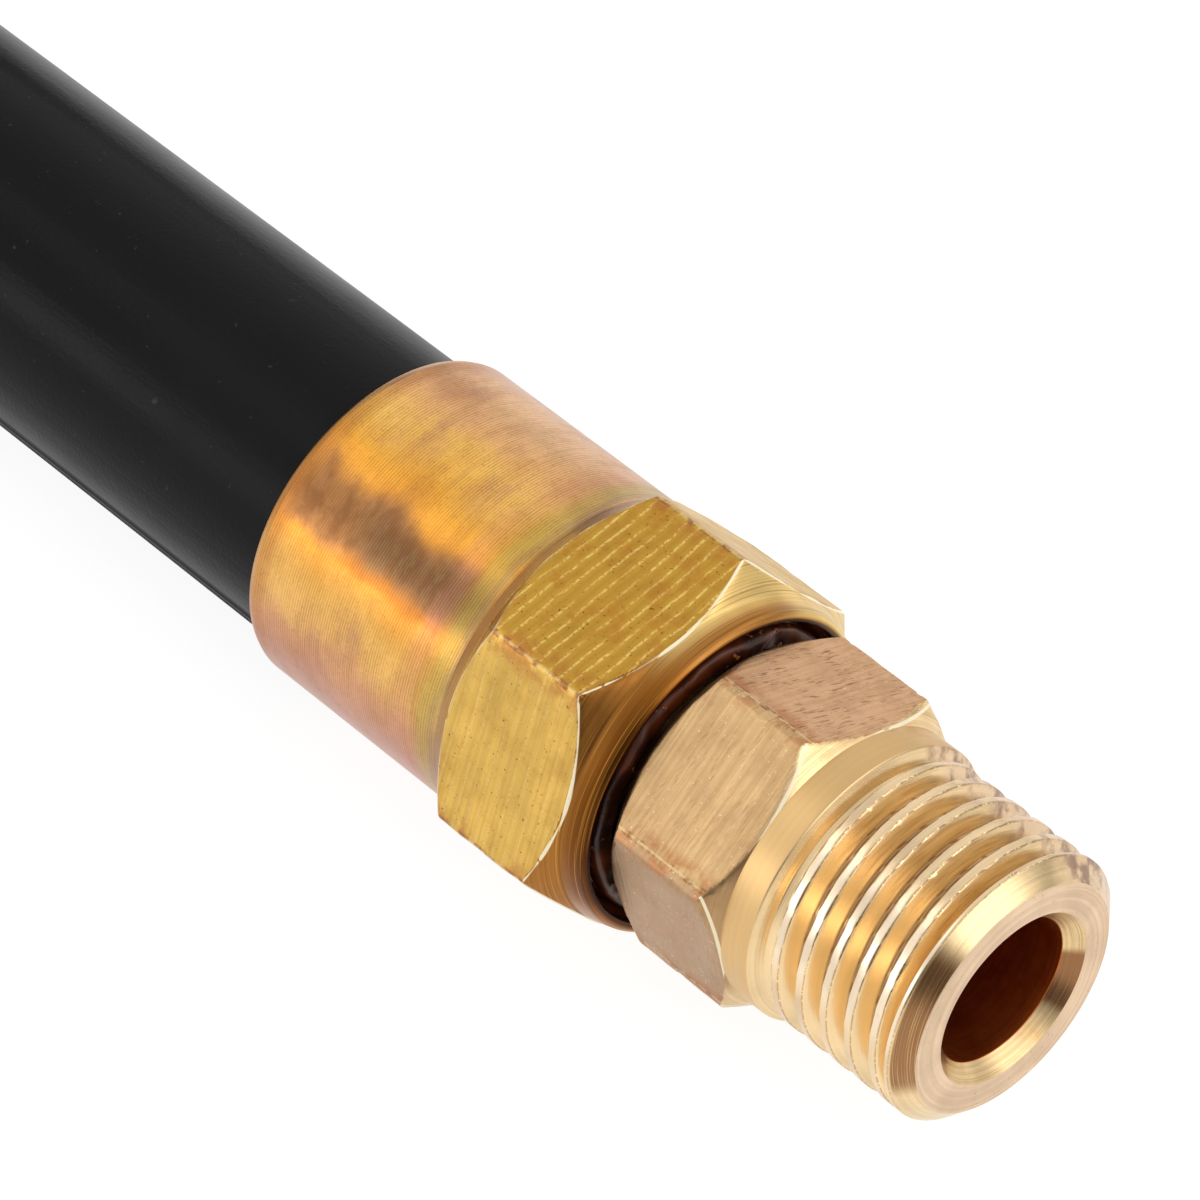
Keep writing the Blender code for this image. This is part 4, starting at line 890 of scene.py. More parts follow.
def filled_nylon(name):
    """Glass-filled nylon from an eroded mould: an even pebble grain with a low sheen."""
    tone = main_colour("nylon")
    tree = new_look(name, tone, 0.5)
    size = bpy.context.scene.torch_sizes.grain
    spot = add(tree, "TexCoord").outputs["Object"]
    pebbles = add(tree, "TexVoronoi", {"Vector": spot, "Scale": 1 / size}, feature="SMOOTH_F1")
    relief(tree, pebbles, 0.05 * MM)
    wear = mottled(tree, spot, dimmed(tone, 1.8), 0.5, 10 * MM, 0.45, 0.7, 4.0)
    mottled(tree, spot, "#5A5B5E", 0.25, 0.4 * MM, 0.68, 0.74, 2.0)  # fibres
    parting_line(tree, HEAD, 0.12 * MM)
    uneven_gloss(tree, wear, 0.56, 0.44)


def knob_nylon(name):
    """The knob's smooth nylon: satin black, brightened where fingers turn it."""
    tree = new_look(name, "#202022", 0.34)
    spot = add(tree, "TexCoord").outputs["Object"]
    rubbed = mottled(tree, spot, "#38383B", 0.5, 4 * MM, 0.45, 0.65, 3.0)
    relief(tree, patches(tree, spot, 0.3 * MM, 0.35, 0.7), 0.012 * MM)
    uneven_gloss(tree, rubbed, 0.4, 0.28)


def hook_and_loop(name):
    """Hook-and-loop strap: a fuzzy loop face over a close weave, with a flat woven edge."""
    tree = new_look(name, "#1E1E20", 0.9, Sheen_Weight=0.35, Sheen_Roughness=0.5)
    run = add(tree, "UVMap", uv_map="run")
    fuzz = mottled(tree, run, "#3A3A3E", 0.6, 0.5 * MM, 0.3, 0.7, 5.0)
    parts = add(tree, "SeparateXYZ", {0: run})
    warp, weft = sine(tree, parts.outputs["X"], 0.9 * MM), sine(tree, parts.outputs["Y"], 0.7 * MM)
    relief(tree, add(tree, "MapRange", {"Value": both(tree, warp, weft), "From Min": -1.0}), 0.12 * MM)
    relief(tree, fuzz, 0.25 * MM)


def fired_alumina(name):
    """Pressed and fired alumina: chalky pink, with pale grains and press rings."""
    tone = main_colour("alumina")
    depths = {"Subsurface_Radius": (0.6 * MM, 0.3 * MM, 0.2 * MM), "Subsurface_Scale": 1.0}
    tree = new_look(name, tone, 0.55, Subsurface_Weight=0.1, **depths)
    spot = seen_from(tree, HEAD)
    mottled(tree, spot, "#E8B4A2", 0.5, 6 * MM, 0.35, 0.7, 4.0)  # cloud
    mottled(tree, spot, "#F3D6CC", 0.4, 0.35 * MM, 0.62, 0.72, 2.0)  # grains
    mottled(tree, spot, "#9C5F50", 0.4, 0.3 * MM, 0.72, 0.76, 1.0)  # dark grains
    relief(tree, rings(tree, 0.6 * MM), 0.012 * MM)
    relief(tree, patches(tree, spot, 0.18 * MM, 0.3, 0.7), 0.015 * MM)


def turned_ptfe(name):
    """White fluoropolymer gasket: waxy, with faint lathe lines."""
    tree = new_look(name, "#E9E8E2", 0.42)
    spot = seen_from(tree, HEAD)
    relief(tree, patches(tree, spot, 0.2 * MM, 0.3, 0.7), 0.01 * MM)
    mottled(tree, spot, "#D8D3C6", 0.4, 2 * MM, 0.5, 0.7)


def ground_tungsten(name):
    """Centreless-ground tungsten: bright grey with fine lines."""
    tree = new_look(name, "#B9B8B6", 0.28, 1.0)
    spot = seen_from(tree, HEAD)
    stretched = add(tree, "Mapping", {"Vector": spot, "Scale": (1.0, 0.08, 1.0)})
    lines = mottled(tree, stretched, "#8E8D8C", 0.5, 0.2 * MM, 0.35, 0.7, 3.0)
    relief(tree, lines, 0.006 * MM)
    uneven_gloss(tree, lines, 0.22, 0.36)


def drawn_copper(name):
    """Copper tube and turned copper parts: warm, with brown oxide clouds."""
    tree = new_look(name, "#D98E68", 0.3, 1.0)
    spot = add(tree, "TexCoord").outputs["Object"]
    oxide = mottled(tree, spot, "#9A5A3E", 0.7, 3 * MM, 0.45, 0.7, 4.0)
    relief(tree, patches(tree, spot, 0.15 * MM, 0.3, 0.7), 0.006 * MM)
    uneven_gloss(tree, oxide, 0.26, 0.42)


def stock_brass(name):
    """Turned brass inside the torch, with a light oxide."""
    tree = new_look(name, "#D6A85A", 0.3, 1.0)
    spot = add(tree, "TexCoord").outputs["Object"]
    oxide = mottled(tree, spot, "#A87C3C", 0.6, 2.5 * MM, 0.4, 0.7, 4.0)
    relief(tree, patches(tree, spot, 0.12 * MM, 0.3, 0.7), 0.006 * MM)
    uneven_gloss(tree, oxide, 0.26, 0.4)


# --- fixing pieces to the torch ------------------------------------------------------------------
def fit(piece, body, slot, nodes, *looks):
    """Lets a piece ride on a body in place of its solids, with its materials."""
    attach(piece, body)
    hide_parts(*nodes)
    for look in looks:
        piece.data.materials.append(finish(look))
    return piece


def keep(look, *nodes):
    """Gives solids whose shape is right their finish."""
    for node in nodes:
        target = frame["nodes"][node]
        target.data.materials.clear()
        target.data.materials.append(finish(look))


def paint(piece, choose):
    """Picks a material for each face from its station back from the mouth, radius and facing."""
    for face in piece.data.polygons:
        arm = face.center - MOUTH
        face.material_index = choose(-arm.x, math.hypot(arm.y, arm.z), face.normal.x)


def area_lamp(name, direction, distance, width, height, radiance):
    """A soft box that faces the fitting from a direction."""
    place = MOUTH + Vector(direction).normalized() * distance
    bpy.ops.object.light_add(type="AREA", location=place)
    lamp = bpy.context.object
    lamp.name = name
    lamp.rotation_mode = "QUATERNION"
    lamp.rotation_quaternion = (place - MOUTH).to_track_quat("Z", "Y")
    lamp.data.shape = "RECTANGLE"
    lamp.data.size = width
    lamp.data.size_y = height
    lamp.data.energy = radiance * math.pi * width * height


AZIMUTH, ELEVATION, ROLL = 55.608, 51.004, -11.439  # degrees, from which the camera looks down
CAMERA_ARM = Vector((0.138754, -0.112008, 0.251940))  # from the fitting's mouth
LENS = 214.4166
SKY_TONES = ((0.0, 1.0), (0.5, 0.98), (0.8, 0.93), (1.0, 0.85))  # by height
DARK_SIDE = (0.79, -0.59, 0.17)  # low on the camera's side, where the room is dark
FLOOR_TONE = (0.86, 0.86, 0.86, 1)
FLOOR_GLOW = 1.2
GLOW_SHARE = 0.72  # of what the camera and reflections see, so that the floor stays white
LAMPS = {  # direction from the mouth, distance, width, height and radiance
    "key_lamp": ((-0.52, -0.78, 0.42), 1.1, 0.5, 0.30, 2.3),
    "top_lamp": ((-0.50, -0.18, 0.85), 1.4, 0.5, 0.35, 1.3),
    "far_lamp": ((0.3, 0.9, 0.5), 1.5, 0.7, 0.3, 0.8),
    "end_lamp": ((0.83, 0.36, 0.42), 1.2, 1.1, 0.4, 1.6),
}


class TORCH_OT_stage(bpy.types.Operator):
    """Sets the photograph's camera, the lamps, the pale world and the white floor"""

    bl_idname = "torch.stage"
    bl_label = "Stage"

    def camera(self):
        azimuth, elevation, roll = (math.radians(turn) for turn in (AZIMUTH, ELEVATION, ROLL))
        level = math.cos(elevation)
        back = Vector((math.sin(azimuth) * level, -math.cos(azimuth) * level, math.sin(elevation)))
        right = Matrix.Rotation(roll, 3, back) @ Vector((math.cos(azimuth), math.sin(azimuth), 0))
        bpy.ops.object.camera_add()
        camera = bpy.context.object
        camera.name = "camera"
        camera.matrix_world = place_of(MOUTH + CAMERA_ARM, back, right)
        camera.data.sensor_width = 36.0
        camera.data.lens = LENS
        camera.data.clip_start = 0.01
        bpy.context.scene.camera = camera

    def world(self):
        world = bpy.data.worlds.new("pale_room")
        world.use_nodes = True
        bpy.context.scene.world = world
        tree = world.node_tree
        sight = add(tree, "TexCoord").outputs["Generated"]
        height = add(tree, "SeparateXYZ", {0: sight}).outputs["Z"]
        stops = [(at, (share, share, share, 1)) for at, share in SKY_TONES]
        ramp = add(tree, "ValToRGB", {0: height}, stops=stops)
        aim = add(tree, "VectorMath", {0: sight, 1: DARK_SIDE}, operation="DOT_PRODUCT")
        fade = {"From Min": 0.8, "From Max": 0.95, "To Min": 1, "To Max": 0.12}
        fade["Value"] = aim.outputs["Value"]
        shade = add(tree, "MapRange", fade, interpolation_type="SMOOTHSTEP")
        tree.links.new(ramp.outputs["Color"], tree.nodes["Background"].inputs["Color"])
        tree.links.new(shade.outputs[0], tree.nodes["Background"].inputs["Strength"])

    def floor(self):
        deselect()
        bpy.ops.mesh.primitive_circle_add(vertices=96, radius=12.0, fill_type="NGON")
        floor = bpy.context.object
        floor.name = "floor"
        made = bpy.data.materials.new("white_floor")
        made.use_nodes = True
        tree = made.node_tree
        tree.nodes.remove(tree.nodes["Principled BSDF"])
        paper = add(tree, "BsdfDiffuse", {"Color": FLOOR_TONE})
        glow = add(tree, "Emission", {"Strength": FLOOR_GLOW})
        seen = add(tree, "MixShader", {0: GLOW_SHARE, 1: paper, 2: glow})
        path = add(tree, "LightPath")
        rays = {0: path.outputs["Is Camera Ray"], 1: path.outputs["Is Glossy Ray"]}
        rays = add(tree, "Math", rays, operation="MAXIMUM")
        rays = add(tree, "Math", {0: rays, 1: path.outputs["Is Transmission Ray"]}, operation="MAXIMUM")
        shown = add(tree, "MixShader", {0: rays, 1: paper, 2: seen})
        tree.links.new(shown.outputs[0], tree.nodes["Material Output"].inputs["Surface"])
        floor.data.materials.append(made)

    def execute(self, context):
        self.camera()
        self.world()
        self.floor()
        for name, lamp in LAMPS.items():
            area_lamp(name, *lamp)
        context.scene.view_settings.view_transform = "Standard"
        return {"FINISHED"}


def smooth_route(knots, spacing):
    """Points on a Catmull-Rom curve through the knots, about this far apart."""
    knots = [Vector(knot) for knot in knots]
    ends = [2 * knots[0] - knots[1]] + knots + [2 * knots[-1] - knots[-2]]
    points = []
    for before, start, stop, after in zip(ends, ends[1:], ends[2:], ends[3:]):
        count = max(1, round((stop - start).length / spacing))
        for step in range(count):
            t = step / count
            point = 2 * start + (stop - before) * t
            point += (2 * before - 5 * start + 4 * stop - after) * t * t
            point += (3 * start - before - 3 * stop + after) * t**3
            points.append(0.5 * point)
    return points + [knots[-1]]


def coil_point(turns):
    """A point of the coil, this many turns before or after the spiral's reversal."""
    angle = math.pi / 2 + math.tau * (turns + COIL_TURNS / 2)
    soft = math.hypot(turns, COIL_BEND_SOFTNESS) - COIL_BEND_SOFTNESS
    share = min(max(turns * 2 + 0.5, 0.0), 1.0)
    share = share * share * (3 - 2 * share)
    arm = Vector((math.cos(angle), math.sin(angle), 0)) * (COIL_INNER_R + COIL_PITCH * soft)
    return COIL_CENTRE + arm + Vector((0, 0, UPPER_Z + (LOWER_Z - UPPER_Z) * share))


def hose_route():
    """From inside the handle through the coil to the socket."""
    count = round(COIL_TURNS * COIL_STEPS)
    coil = [coil_point(COIL_TURNS * (step / count - 0.5)) for step in range(count + 1)]
    start = HEAD + ALONG * (span("handle", HEAD, ALONG)[0] + HOSE_START_DEPTH - GAP)
    straight = Vector((2 * HOSE_R, 0, 0))
    lead = [
        start,
        start - ALONG * 2 * HOSE_R,
        (-0.133, 0.0439, 0.0116),
        (-0.165, 0.0516, 0.0086),
        (-0.200, 0.0538, 0.0079),
        (-0.230, 0.0526, 0.0096),
        (-0.260, 0.0509, 0.0156),
        (-0.290, 0.0497, 0.0222),
        coil[0] + 2 * straight,
        coil[0] + straight,
        coil[0],
    ]
    end = Vector((SOCKET_LOW.x + GAP, coil[-1].y, MOUTH.z))
    tail = [
        coil[-1],
        coil[-1] + straight + Vector((HOSE_R, 0, -TAIL_DIP)),
        coil[-1] + Vector((0.050, 0, HOSE_R + TAIL_DIP - LOWER_Z)),
        end + Vector((-0.105, 0, HOSE_R + TAIL_DIP - MOUTH.z)),
        end + Vector((-0.065, 0, -0.0003)),
        end + Vector((-0.030, 0, -0.0001)),
        end - Vector((HOSE_R, 0, 0)),
        end,
    ]
    return smooth_route(lead, HOSE_STEP)[:-1] + coil + smooth_route(tail, HOSE_STEP)[1:]


class TORCH_OT_hose(bpy.types.Operator):
    """Lays the hose from the handle through its coil to the socket, with its moulding ridges"""

    bl_idname = "torch.hose"
    bl_label = "Hose"

    def section(self):
        """Angles and radii round the hose, the twin ridges low on the side at -Y."""
        ridges = [math.radians(turn) for turn in RIDGES]
        angles = [math.tau * side / HOSE_SIDES - math.pi for side in range(HOSE_SIDES)]
        angles += [ridge + math.radians(off) for ridge in ridges for off in (-1.2, 0, 1.2)]
        angles = sorted(set(round(angle, 5) for angle in angles))
        radii = []
        for angle in angles:
            near = min(abs(angle - ridge) for ridge in ridges)
            radii.append(HOSE_R + RIDGE_HEIGHT * math.exp(-((near / math.radians(0.7)) ** 2)))
        return angles, radii

    def execute(self, context):
        points = hose_route()
        angles, radii = self.section()
        count = len(angles)
        verts, along = [], [0.0]
        for index, point in enumerate(points):
            before, after = points[max(index - 1, 0)], points[min(index + 1, len(points) - 1)]
            ahead = (after - before).normalized()
            side = ahead.cross(UP).normalized()
            rise = side.cross(ahead)
            if index:
                along.append(along[-1] + (point - points[index - 1]).length)
            for angle, radius in zip(angles, radii):
                verts.append(point + (side * math.sin(angle) + rise * math.cos(angle)) * radius)
        faces, runs = [], []
        for ring in range(len(points) - 1):
            for side in range(count):
                after = (side + 1) % count
                low, high = ring * count, (ring + 1) * count
                faces.append((low + side, high + side, high + after, low + after))
                start = angles[side] * HOSE_R
                stop = (angles[after] + (math.tau if after == 0 else 0)) * HOSE_R
                runs += [(along[ring], start), (along[ring + 1], start)]
                runs += [(along[ring + 1], stop), (along[ring], stop)]
        last = (len(points) - 1) * count
        faces += [tuple(range(count)), tuple(last + side for side in reversed(range(count)))]
        runs += [(0.0, angle * HOSE_R) for angle in angles] * 2
        hose = sheeted("hose", verts, faces, runs)
        select_only(hose)
        face_outward()
        bpy.ops.object.shade_smooth_by_angle(angle=math.radians(50))
        fit(hose, "torch", "hose_rubber", ["hose_lead", "hose_coil", "hose_tail"], extruded_rubber)
        on_it = ["coil_strap_near", "coil_strap_far", "hose_socket_shell", "threaded_connector"]
        on_it += ["socket_washer", "socket_sealant", "fitting_hose_end", "fitting_conductor"]
        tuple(points[0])
        return {"FINISHED"}


LAP_POINTS = 22  # of a strap's line, that its lapped end covers


class TORCH_OT_straps(bpy.types.Operator):
    """Wraps the two hook-and-loop straps round the coil"""

    bl_idname = "torch.straps"
    bl_label = "Coil straps"

    def loop(self, low, high, corner, steps=8):
        """A rectangle with round corners in X and Z, from the middle of its upper side."""
        points = [Vector(((low.x + high.x) / 2, 0, high.z))]
        lower, upper = low + Vector((corner, 0, corner)), high - Vector((corner, 0, corner))
        corners = ((upper.x, upper.z), (upper.x, lower.z), (lower.x, lower.z), (lower.x, upper.z))
        for quarter, (x, z) in enumerate(corners):
            centre = Vector((x, 0, z))
            for step in range(steps + 1):
                angle = math.pi / 2 * (1 - quarter - step / steps)
                points.append(centre + Vector((math.cos(angle), 0, math.sin(angle))) * corner)
        return points

    def band(self, name, outer, inner, width, middle, closed):
        """A strap of this width between an outer and an inner line."""
        lines = [(outer, -0.5), (outer, 0.5), (inner, 0.5), (inner, -0.5)]
        shifts = [(line, Vector((0, middle + side * width, 0))) for line, side in lines]
        verts = [point + shift for line, shift in shifts for point in line]
        count = len(outer)
        lengths = [0.0]
        for before, after in zip(outer, outer[1:] + outer[:1]):
            lengths.append(lengths[-1] + (after - before).length)
        faces, runs = [], []
        for line in range(4):
            for spot in range(count if closed else count - 1):
                after = (spot + 1) % count
                a, b = line * count, (line + 1) % 4 * count
                faces.append((a + spot, a + after, b + after, b + spot))
                wide = (0.0, width) if line % 2 == 0 else (0.0, 0.1 * width)
                runs += [(lengths[spot], wide[0]), (lengths[spot + 1], wide[0])]
                runs += [(lengths[spot + 1], wide[1]), (lengths[spot], wide[1])]
        if not closed:
            for end in (0, count - 1):
                faces.append(tuple(line * count + end for line in range(4)))
                runs += [(0.0, 0.0), (0.0, width), (0.002, width), (0.002, 0.0)]
        return sheeted(name, verts, faces, runs)

    def strap(self, name, node):
        low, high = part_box(node)
        wall, lap = 0.85 * MM, 0.65 * MM
        middle, width = (low.y + high.y) / 2, high.y - low.y
        corner = 7.5 * MM
        skin = Vector((lap, 0, lap))
        out = self.loop(low + skin, high - skin, corner - lap)
        wall_in = skin + Vector((wall, 0, wall))
        inside = self.loop(low + wall_in, high - wall_in, corner - lap - wall)
        strap = self.band(name, out, inside, width, middle, True)
        over_out = self.loop(low, high, corner)
        ends = over_out[:LAP_POINTS], out[:LAP_POINTS]
        lapped = self.band(name + "_lap", *ends, width - 0.4 * MM, middle, False)
        select_only(strap)
        lapped.select_set(True)
        bpy.ops.object.join()
        face_outward()
        limit = {"limit_method": "ANGLE", "angle_limit": math.radians(50)}
        modify(strap, "BEVEL", width=0.15 * MM, segments=2, **limit)
        bpy.ops.object.shade_smooth_by_angle(angle=math.radians(40))
        fit(strap, "torch", "webbing", [node], hook_and_loop)

    def execute(self, context):
        self.strap("coil_strap_near", "coil_tie_near")
        self.strap("coil_strap_far", "coil_tie_far")
        return {"FINISHED"}


class TORCH_OT_socket(bpy.types.Operator):
    """Turns the hose socket, mills its hexagon and finishes it in heat-tinted brass"""

    bl_idname = "torch.socket"
    bl_label = "Hose socket"

    def execute(self, context):
        sizes = context.scene.torch_sizes
        flat_r = SOCKET_FLATS / 2
        cone = (SOCKET_BLANK_R - flat_r) * CONE_SLOPE
        outline = rounded(
            [
                (SKIRT_BORE_R, SKIRT_STEP, 0, 1.0 * MM),
                (SKIRT_BORE_R, SKIRT_REAR - 0.5 * MM, 0.2 * MM),
                (SKIRT_BORE_R + 0.22 * MM, SKIRT_REAR, 0.15 * MM),
                (SKIRT_R - 0.2 * MM, SKIRT_REAR, 0.3 * MM),
                (SKIRT_R, SKIRT_REAR - 0.5 * MM, 0.4 * MM),
                (SKIRT_R, SOCKET_BACK + 0.55 * MM, 0.5 * MM, 0.09 * MM),
                (flat_r - 0.02 * MM, SOCKET_BACK, 0.1 * MM),
                (SOCKET_BLANK_R, SOCKET_BACK - cone, 0.25 * MM),
                (SOCKET_BLANK_R, SOCKET_FRONT + cone, 0.2 * MM),
                (flat_r - 0.08 * MM, SOCKET_FRONT - 0.05 * MM, 0.3 * MM),
                (LIP_R, LIP_FRONT + 0.2 * MM, 0.3 * MM),
                (LIP_R - 0.25 * MM, LIP_FRONT, 0.25 * MM),
                (SOCKET_BORE_R + 0.2 * MM, LIP_FRONT + 0.1 * MM, 0.2 * MM),
                (SOCKET_BORE_R, LIP_FRONT + 0.9 * MM, 0.5 * MM, 1.0 * MM),
                (SOCKET_BORE_R, SOCKET_STEP, 0),
                (NECK_R + GAP, SOCKET_STEP, 0),
                (NECK_R + GAP, SKIRT_STEP, 0),
            ]
        )

        def reshape(radius, angle, height, across):
            angle = closer_at_corners(angle, 0.0)
            ends = (SOCKET_FRONT + 0.02 * MM, SOCKET_BACK + 0.2 * MM)
            cutter = (sizes.edge_wear, 0.005 * MM, sizes.mill_pitch)
            radius = milled(radius, angle, height, *ends, SOCKET_FLATS, 0.0, *cutter)
            return radius, angle, height, across

        socket = turned("hose_socket_shell", outline, 360, FITTING, reshape, sharp=60)
        looks = (heat_tinted_brass, milled_brass, stained_brass, bored_brass)
        fit(socket, "torch", "brass", ["hose_socket"], *looks)
        back = SOCKET_BACK + 0.05 * MM

        def choose(place, radius, facing):
            if radius < SOCKET_BORE_R + 0.12 * MM:
                return 3
            if place > back:
                return 0
            return 2 if facing > 0.35 or place < SOCKET_FRONT + 0.02 * MM else 1

        paint(socket, choose)
        return {"FINISHED"}


class TORCH_OT_connector(bpy.types.Operator):
    """Turns the male connector, mills its hexagon and cuts its thread"""

    bl_idname = "torch.connector"
    bl_label = "Threaded connector"

    def cut_thread(self, radius, angle, height, pitch):
        """Cuts a right-handed thread with sloping flanks, narrow roots and nicked crests."""
        cut = (height > 0.1 * MM) & (height < UNDERCUT) & (radius > COUNTERSINK_R + 0.3 * MM)
        r, a, h = radius[cut], angle[cut], height[cut]
        turn = ((h - THREAD_START) / pitch - a / math.tau) % 1.0
        away = np.minimum(turn, 1 - turn) * pitch
        rise = np.clip((away - ROOT_HALF) / FLANK, 0, 1)
        depth = THREAD_R - THREAD_ROOT_R
        rise = rise - CREST_SOFTNESS * np.exp(-(((rise - 1) / CREST_MARGIN) ** 2)) * (1 - rise)
        run_in = depth * np.clip((RUN_IN_END - h) / RUN_IN, 0, 1)
        run_out = np.clip(h - THREAD_LENGTH + RUN_OUT, 0, None) * RUN_OUT_SLOPE
        profile = THREAD_ROOT_R + np.maximum(depth * rise, np.maximum(run_in, run_out))
        nicks = nicked(r, a, h, 0.35 * MM, 31.0, 0.3, 0.22 * MM)
        profile = profile - nicks * np.exp(-(((rise - CREST_EDGE) / CREST_EDGE_WIDTH) ** 2))
        radius = radius.copy()
        radius[cut] = softer_least(r, profile, 0.02 * MM)
        return radius

    def execute(self, context):
        sizes = context.scene.torch_sizes
        flat_r = CONNECTOR_FLATS / 2
        cone = (CONNECTOR_BLANK_R - flat_r) * CONE_SLOPE
        barb = (TAIL_BACK - NECK_BACK) / BARBS
        corners = [
            (TAIL_BORE_R, BORE_LENGTH + (BORE_R - TAIL_BORE_R), 0, 0.6 * MM),
            (BORE_R, BORE_LENGTH, 0),
            (BORE_R, COUNTERSINK, 0.08 * MM),
            (COUNTERSINK_R, 0, 0.06 * MM),
            (END_FACE_R, 0, 0.08 * MM, 0.055 * MM),
            (THREAD_R, END_CHAMFER, 0.12 * MM),
            (THREAD_R, THREAD_LENGTH, 0.1 * MM),
            (UNDERCUT_R, UNDERCUT, 0.1 * MM),
            (COLLAR_R, COLLAR_FRONT, 0.12 * MM, 0.3 * MM),
            (COLLAR_R, CONNECTOR_FRONT, 0.1 * MM, 0.12 * MM),
            (flat_r - 0.03 * MM, CONNECTOR_FRONT, 0.05 * MM),
            (CONNECTOR_BLANK_R, CONNECTOR_FRONT + cone, 0.15 * MM),
            (CONNECTOR_BLANK_R, CONNECTOR_BACK - cone, 0.2 * MM),
            (flat_r - 0.1 * MM, CONNECTOR_BACK, 0.15 * MM, 1.0 * MM),
            (NECK_R, CONNECTOR_BACK, 0.1 * MM),
        ]
        fine = rounded(corners)
        root = BARB_R - BARB_DEPTH
        tail = [(NECK_R, NECK_BACK - BARB_DEPTH), (root, NECK_BACK)]
        for index in range(BARBS):
            start = NECK_BACK + index * barb
            tail += [(root, start + 0.25 * barb), (BARB_R, start + 0.3 * barb)]
            tail.append((root, start + barb))
        coarse = [Vector(point) for point in tail + [(TAIL_BORE_R, TAIL_BACK)]]

        def reshape(radius, angle, height, across):
            angle = closer_at_corners(angle, CONNECTOR_TURN)
            ends = (CONNECTOR_FRONT - 0.05 * MM, CONNECTOR_BACK + 0.05 * MM)
            cutter = (0.8 * sizes.edge_wear, 0.006 * MM, 0.31 * MM)
            hexagon = (CONNECTOR_FLATS, CONNECTOR_TURN)
            radius = milled(radius, angle, height, *ends, *hexagon, *cutter)
            radius = self.cut_thread(radius, angle, height, sizes.thread_pitch)
            on_thread = (height < THREAD_LENGTH) & (radius > COUNTERSINK_R)
            across = across - np.where(on_thread, sizes.thread_pitch * angle / math.tau, 0)
            return radius, angle, height, across

        connector = turned("threaded_connector", fine + coarse, 256, FITTING, reshape, sharp=50)
        looks = (threaded_brass, tarnished_brass, turned_brass, faced_brass, bored_brass)
        fit(connector, "torch", "brass_pale", ["male_connector"], *looks)

        def choose(place, radius, facing):
            if radius < BORE_R + 0.1 * MM and place < NECK_BACK:
                return 4
            if place < 0.06 * MM and radius > COUNTERSINK_R:
                return 3
            if radius < COUNTERSINK_R + 0.02 * MM or place > CONNECTOR_BACK - 0.05 * MM:
                return 2
            if place < CONNECTOR_FRONT:
                return 0
            return 2 if abs(facing) > 0.35 else 1

        paint(connector, choose)
        return {"FINISHED"}


class TORCH_OT_seals(bpy.types.Operator):
    """Sets the washer and the hardened sealant in the socket's mouth"""

    bl_idname = "torch.seals"
    bl_label = "Washer and sealant"

    def execute(self, context):
        inner, outer = NECK_R + GAP, SOCKET_BORE_R - GAP
        low, high = span("seal_washer", MOUTH, BACK)
        edge = 0.2 * MM
        ring = [(inner, low, edge), (outer, low, edge), (outer, high, edge), (inner, high, edge)]
        washer = turned("socket_washer", rounded(ring), 128, FITTING)
        fit(washer, "torch", "steel", ["seal_washer"], plated_steel)
        low, high = span("sealant_bead", MOUTH, BACK)
        ring = [(inner, low, 0.4 * MM), (outer, low, 0.4 * MM), (outer, high, 0), (inner, high, 0)]

        def lumpy(radius, angle, height, across):
            lumps = grainy(radius, angle, height, 2.4 * MM, 5.0)
            lumps += 0.3 * grainy(radius, angle, height, 0.7 * MM, 9.0)
            free = np.clip((high - height) / (high - low), 0, 1)
            return radius, angle, height + free * (0.25 * MM + 0.3 * MM * lumps), across

        bead = turned("socket_sealant", rounded(ring, 0.12 * MM), 220, FITTING, lumpy, sharp=80)
        fit(bead, "torch", "sealant", ["sealant_bead"], set_sealant)
        return {"FINISHED"}


class TORCH_OT_head(bpy.types.Operator):
    """Moulds the torch head and its neck in one, with soft inner corners"""

    bl_idname = "torch.head"
    bl_label = "Head moulding"

    def execute(self, context):
        core = girth("head_core", HEAD, AHEAD) + GAP
        radius, half, edge = 11.0 * MM, 20.0 * MM, 1.2 * MM
        barrel = rounded([(0, -half, 0), (radius, -half, edge), (radius, half, edge), (0, half, 0)])
        head = turned("torch_head_moulding", barrel, 96, HEAD_PLACE)
        collar = -NECK_LENGTH + GAP
        neck = [
            (0, collar, 0),
            (10.5 * MM, collar, 0.8 * MM),
            (10.5 * MM, collar + 5.2 * MM, 1.5 * MM),
            (8.2 * MM, collar + 8.2 * MM, 2.5 * MM),
            (8.2 * MM, 0, 0),
            (0, 0, 0),
        ]
        neck = turned("neck", rounded(neck), 96, HANDLE_PLACE)
        combined(head, [neck], "UNION")
        bore = solid_rod("bore", core, -2 * half, 2 * half, HEAD_PLACE)
        feed = solid_rod("feed", 4.3 * MM, -NECK_LENGTH - half, 0, HANDLE_PLACE)
        combined(head, [bore, feed], "DIFFERENCE")
        remeshed(head, voxel=0.36 * MM, passes=14)
        fit(head, "torch", "phenolic", ["torch_head"], moulded_phenolic)
        return {"FINISHED"}


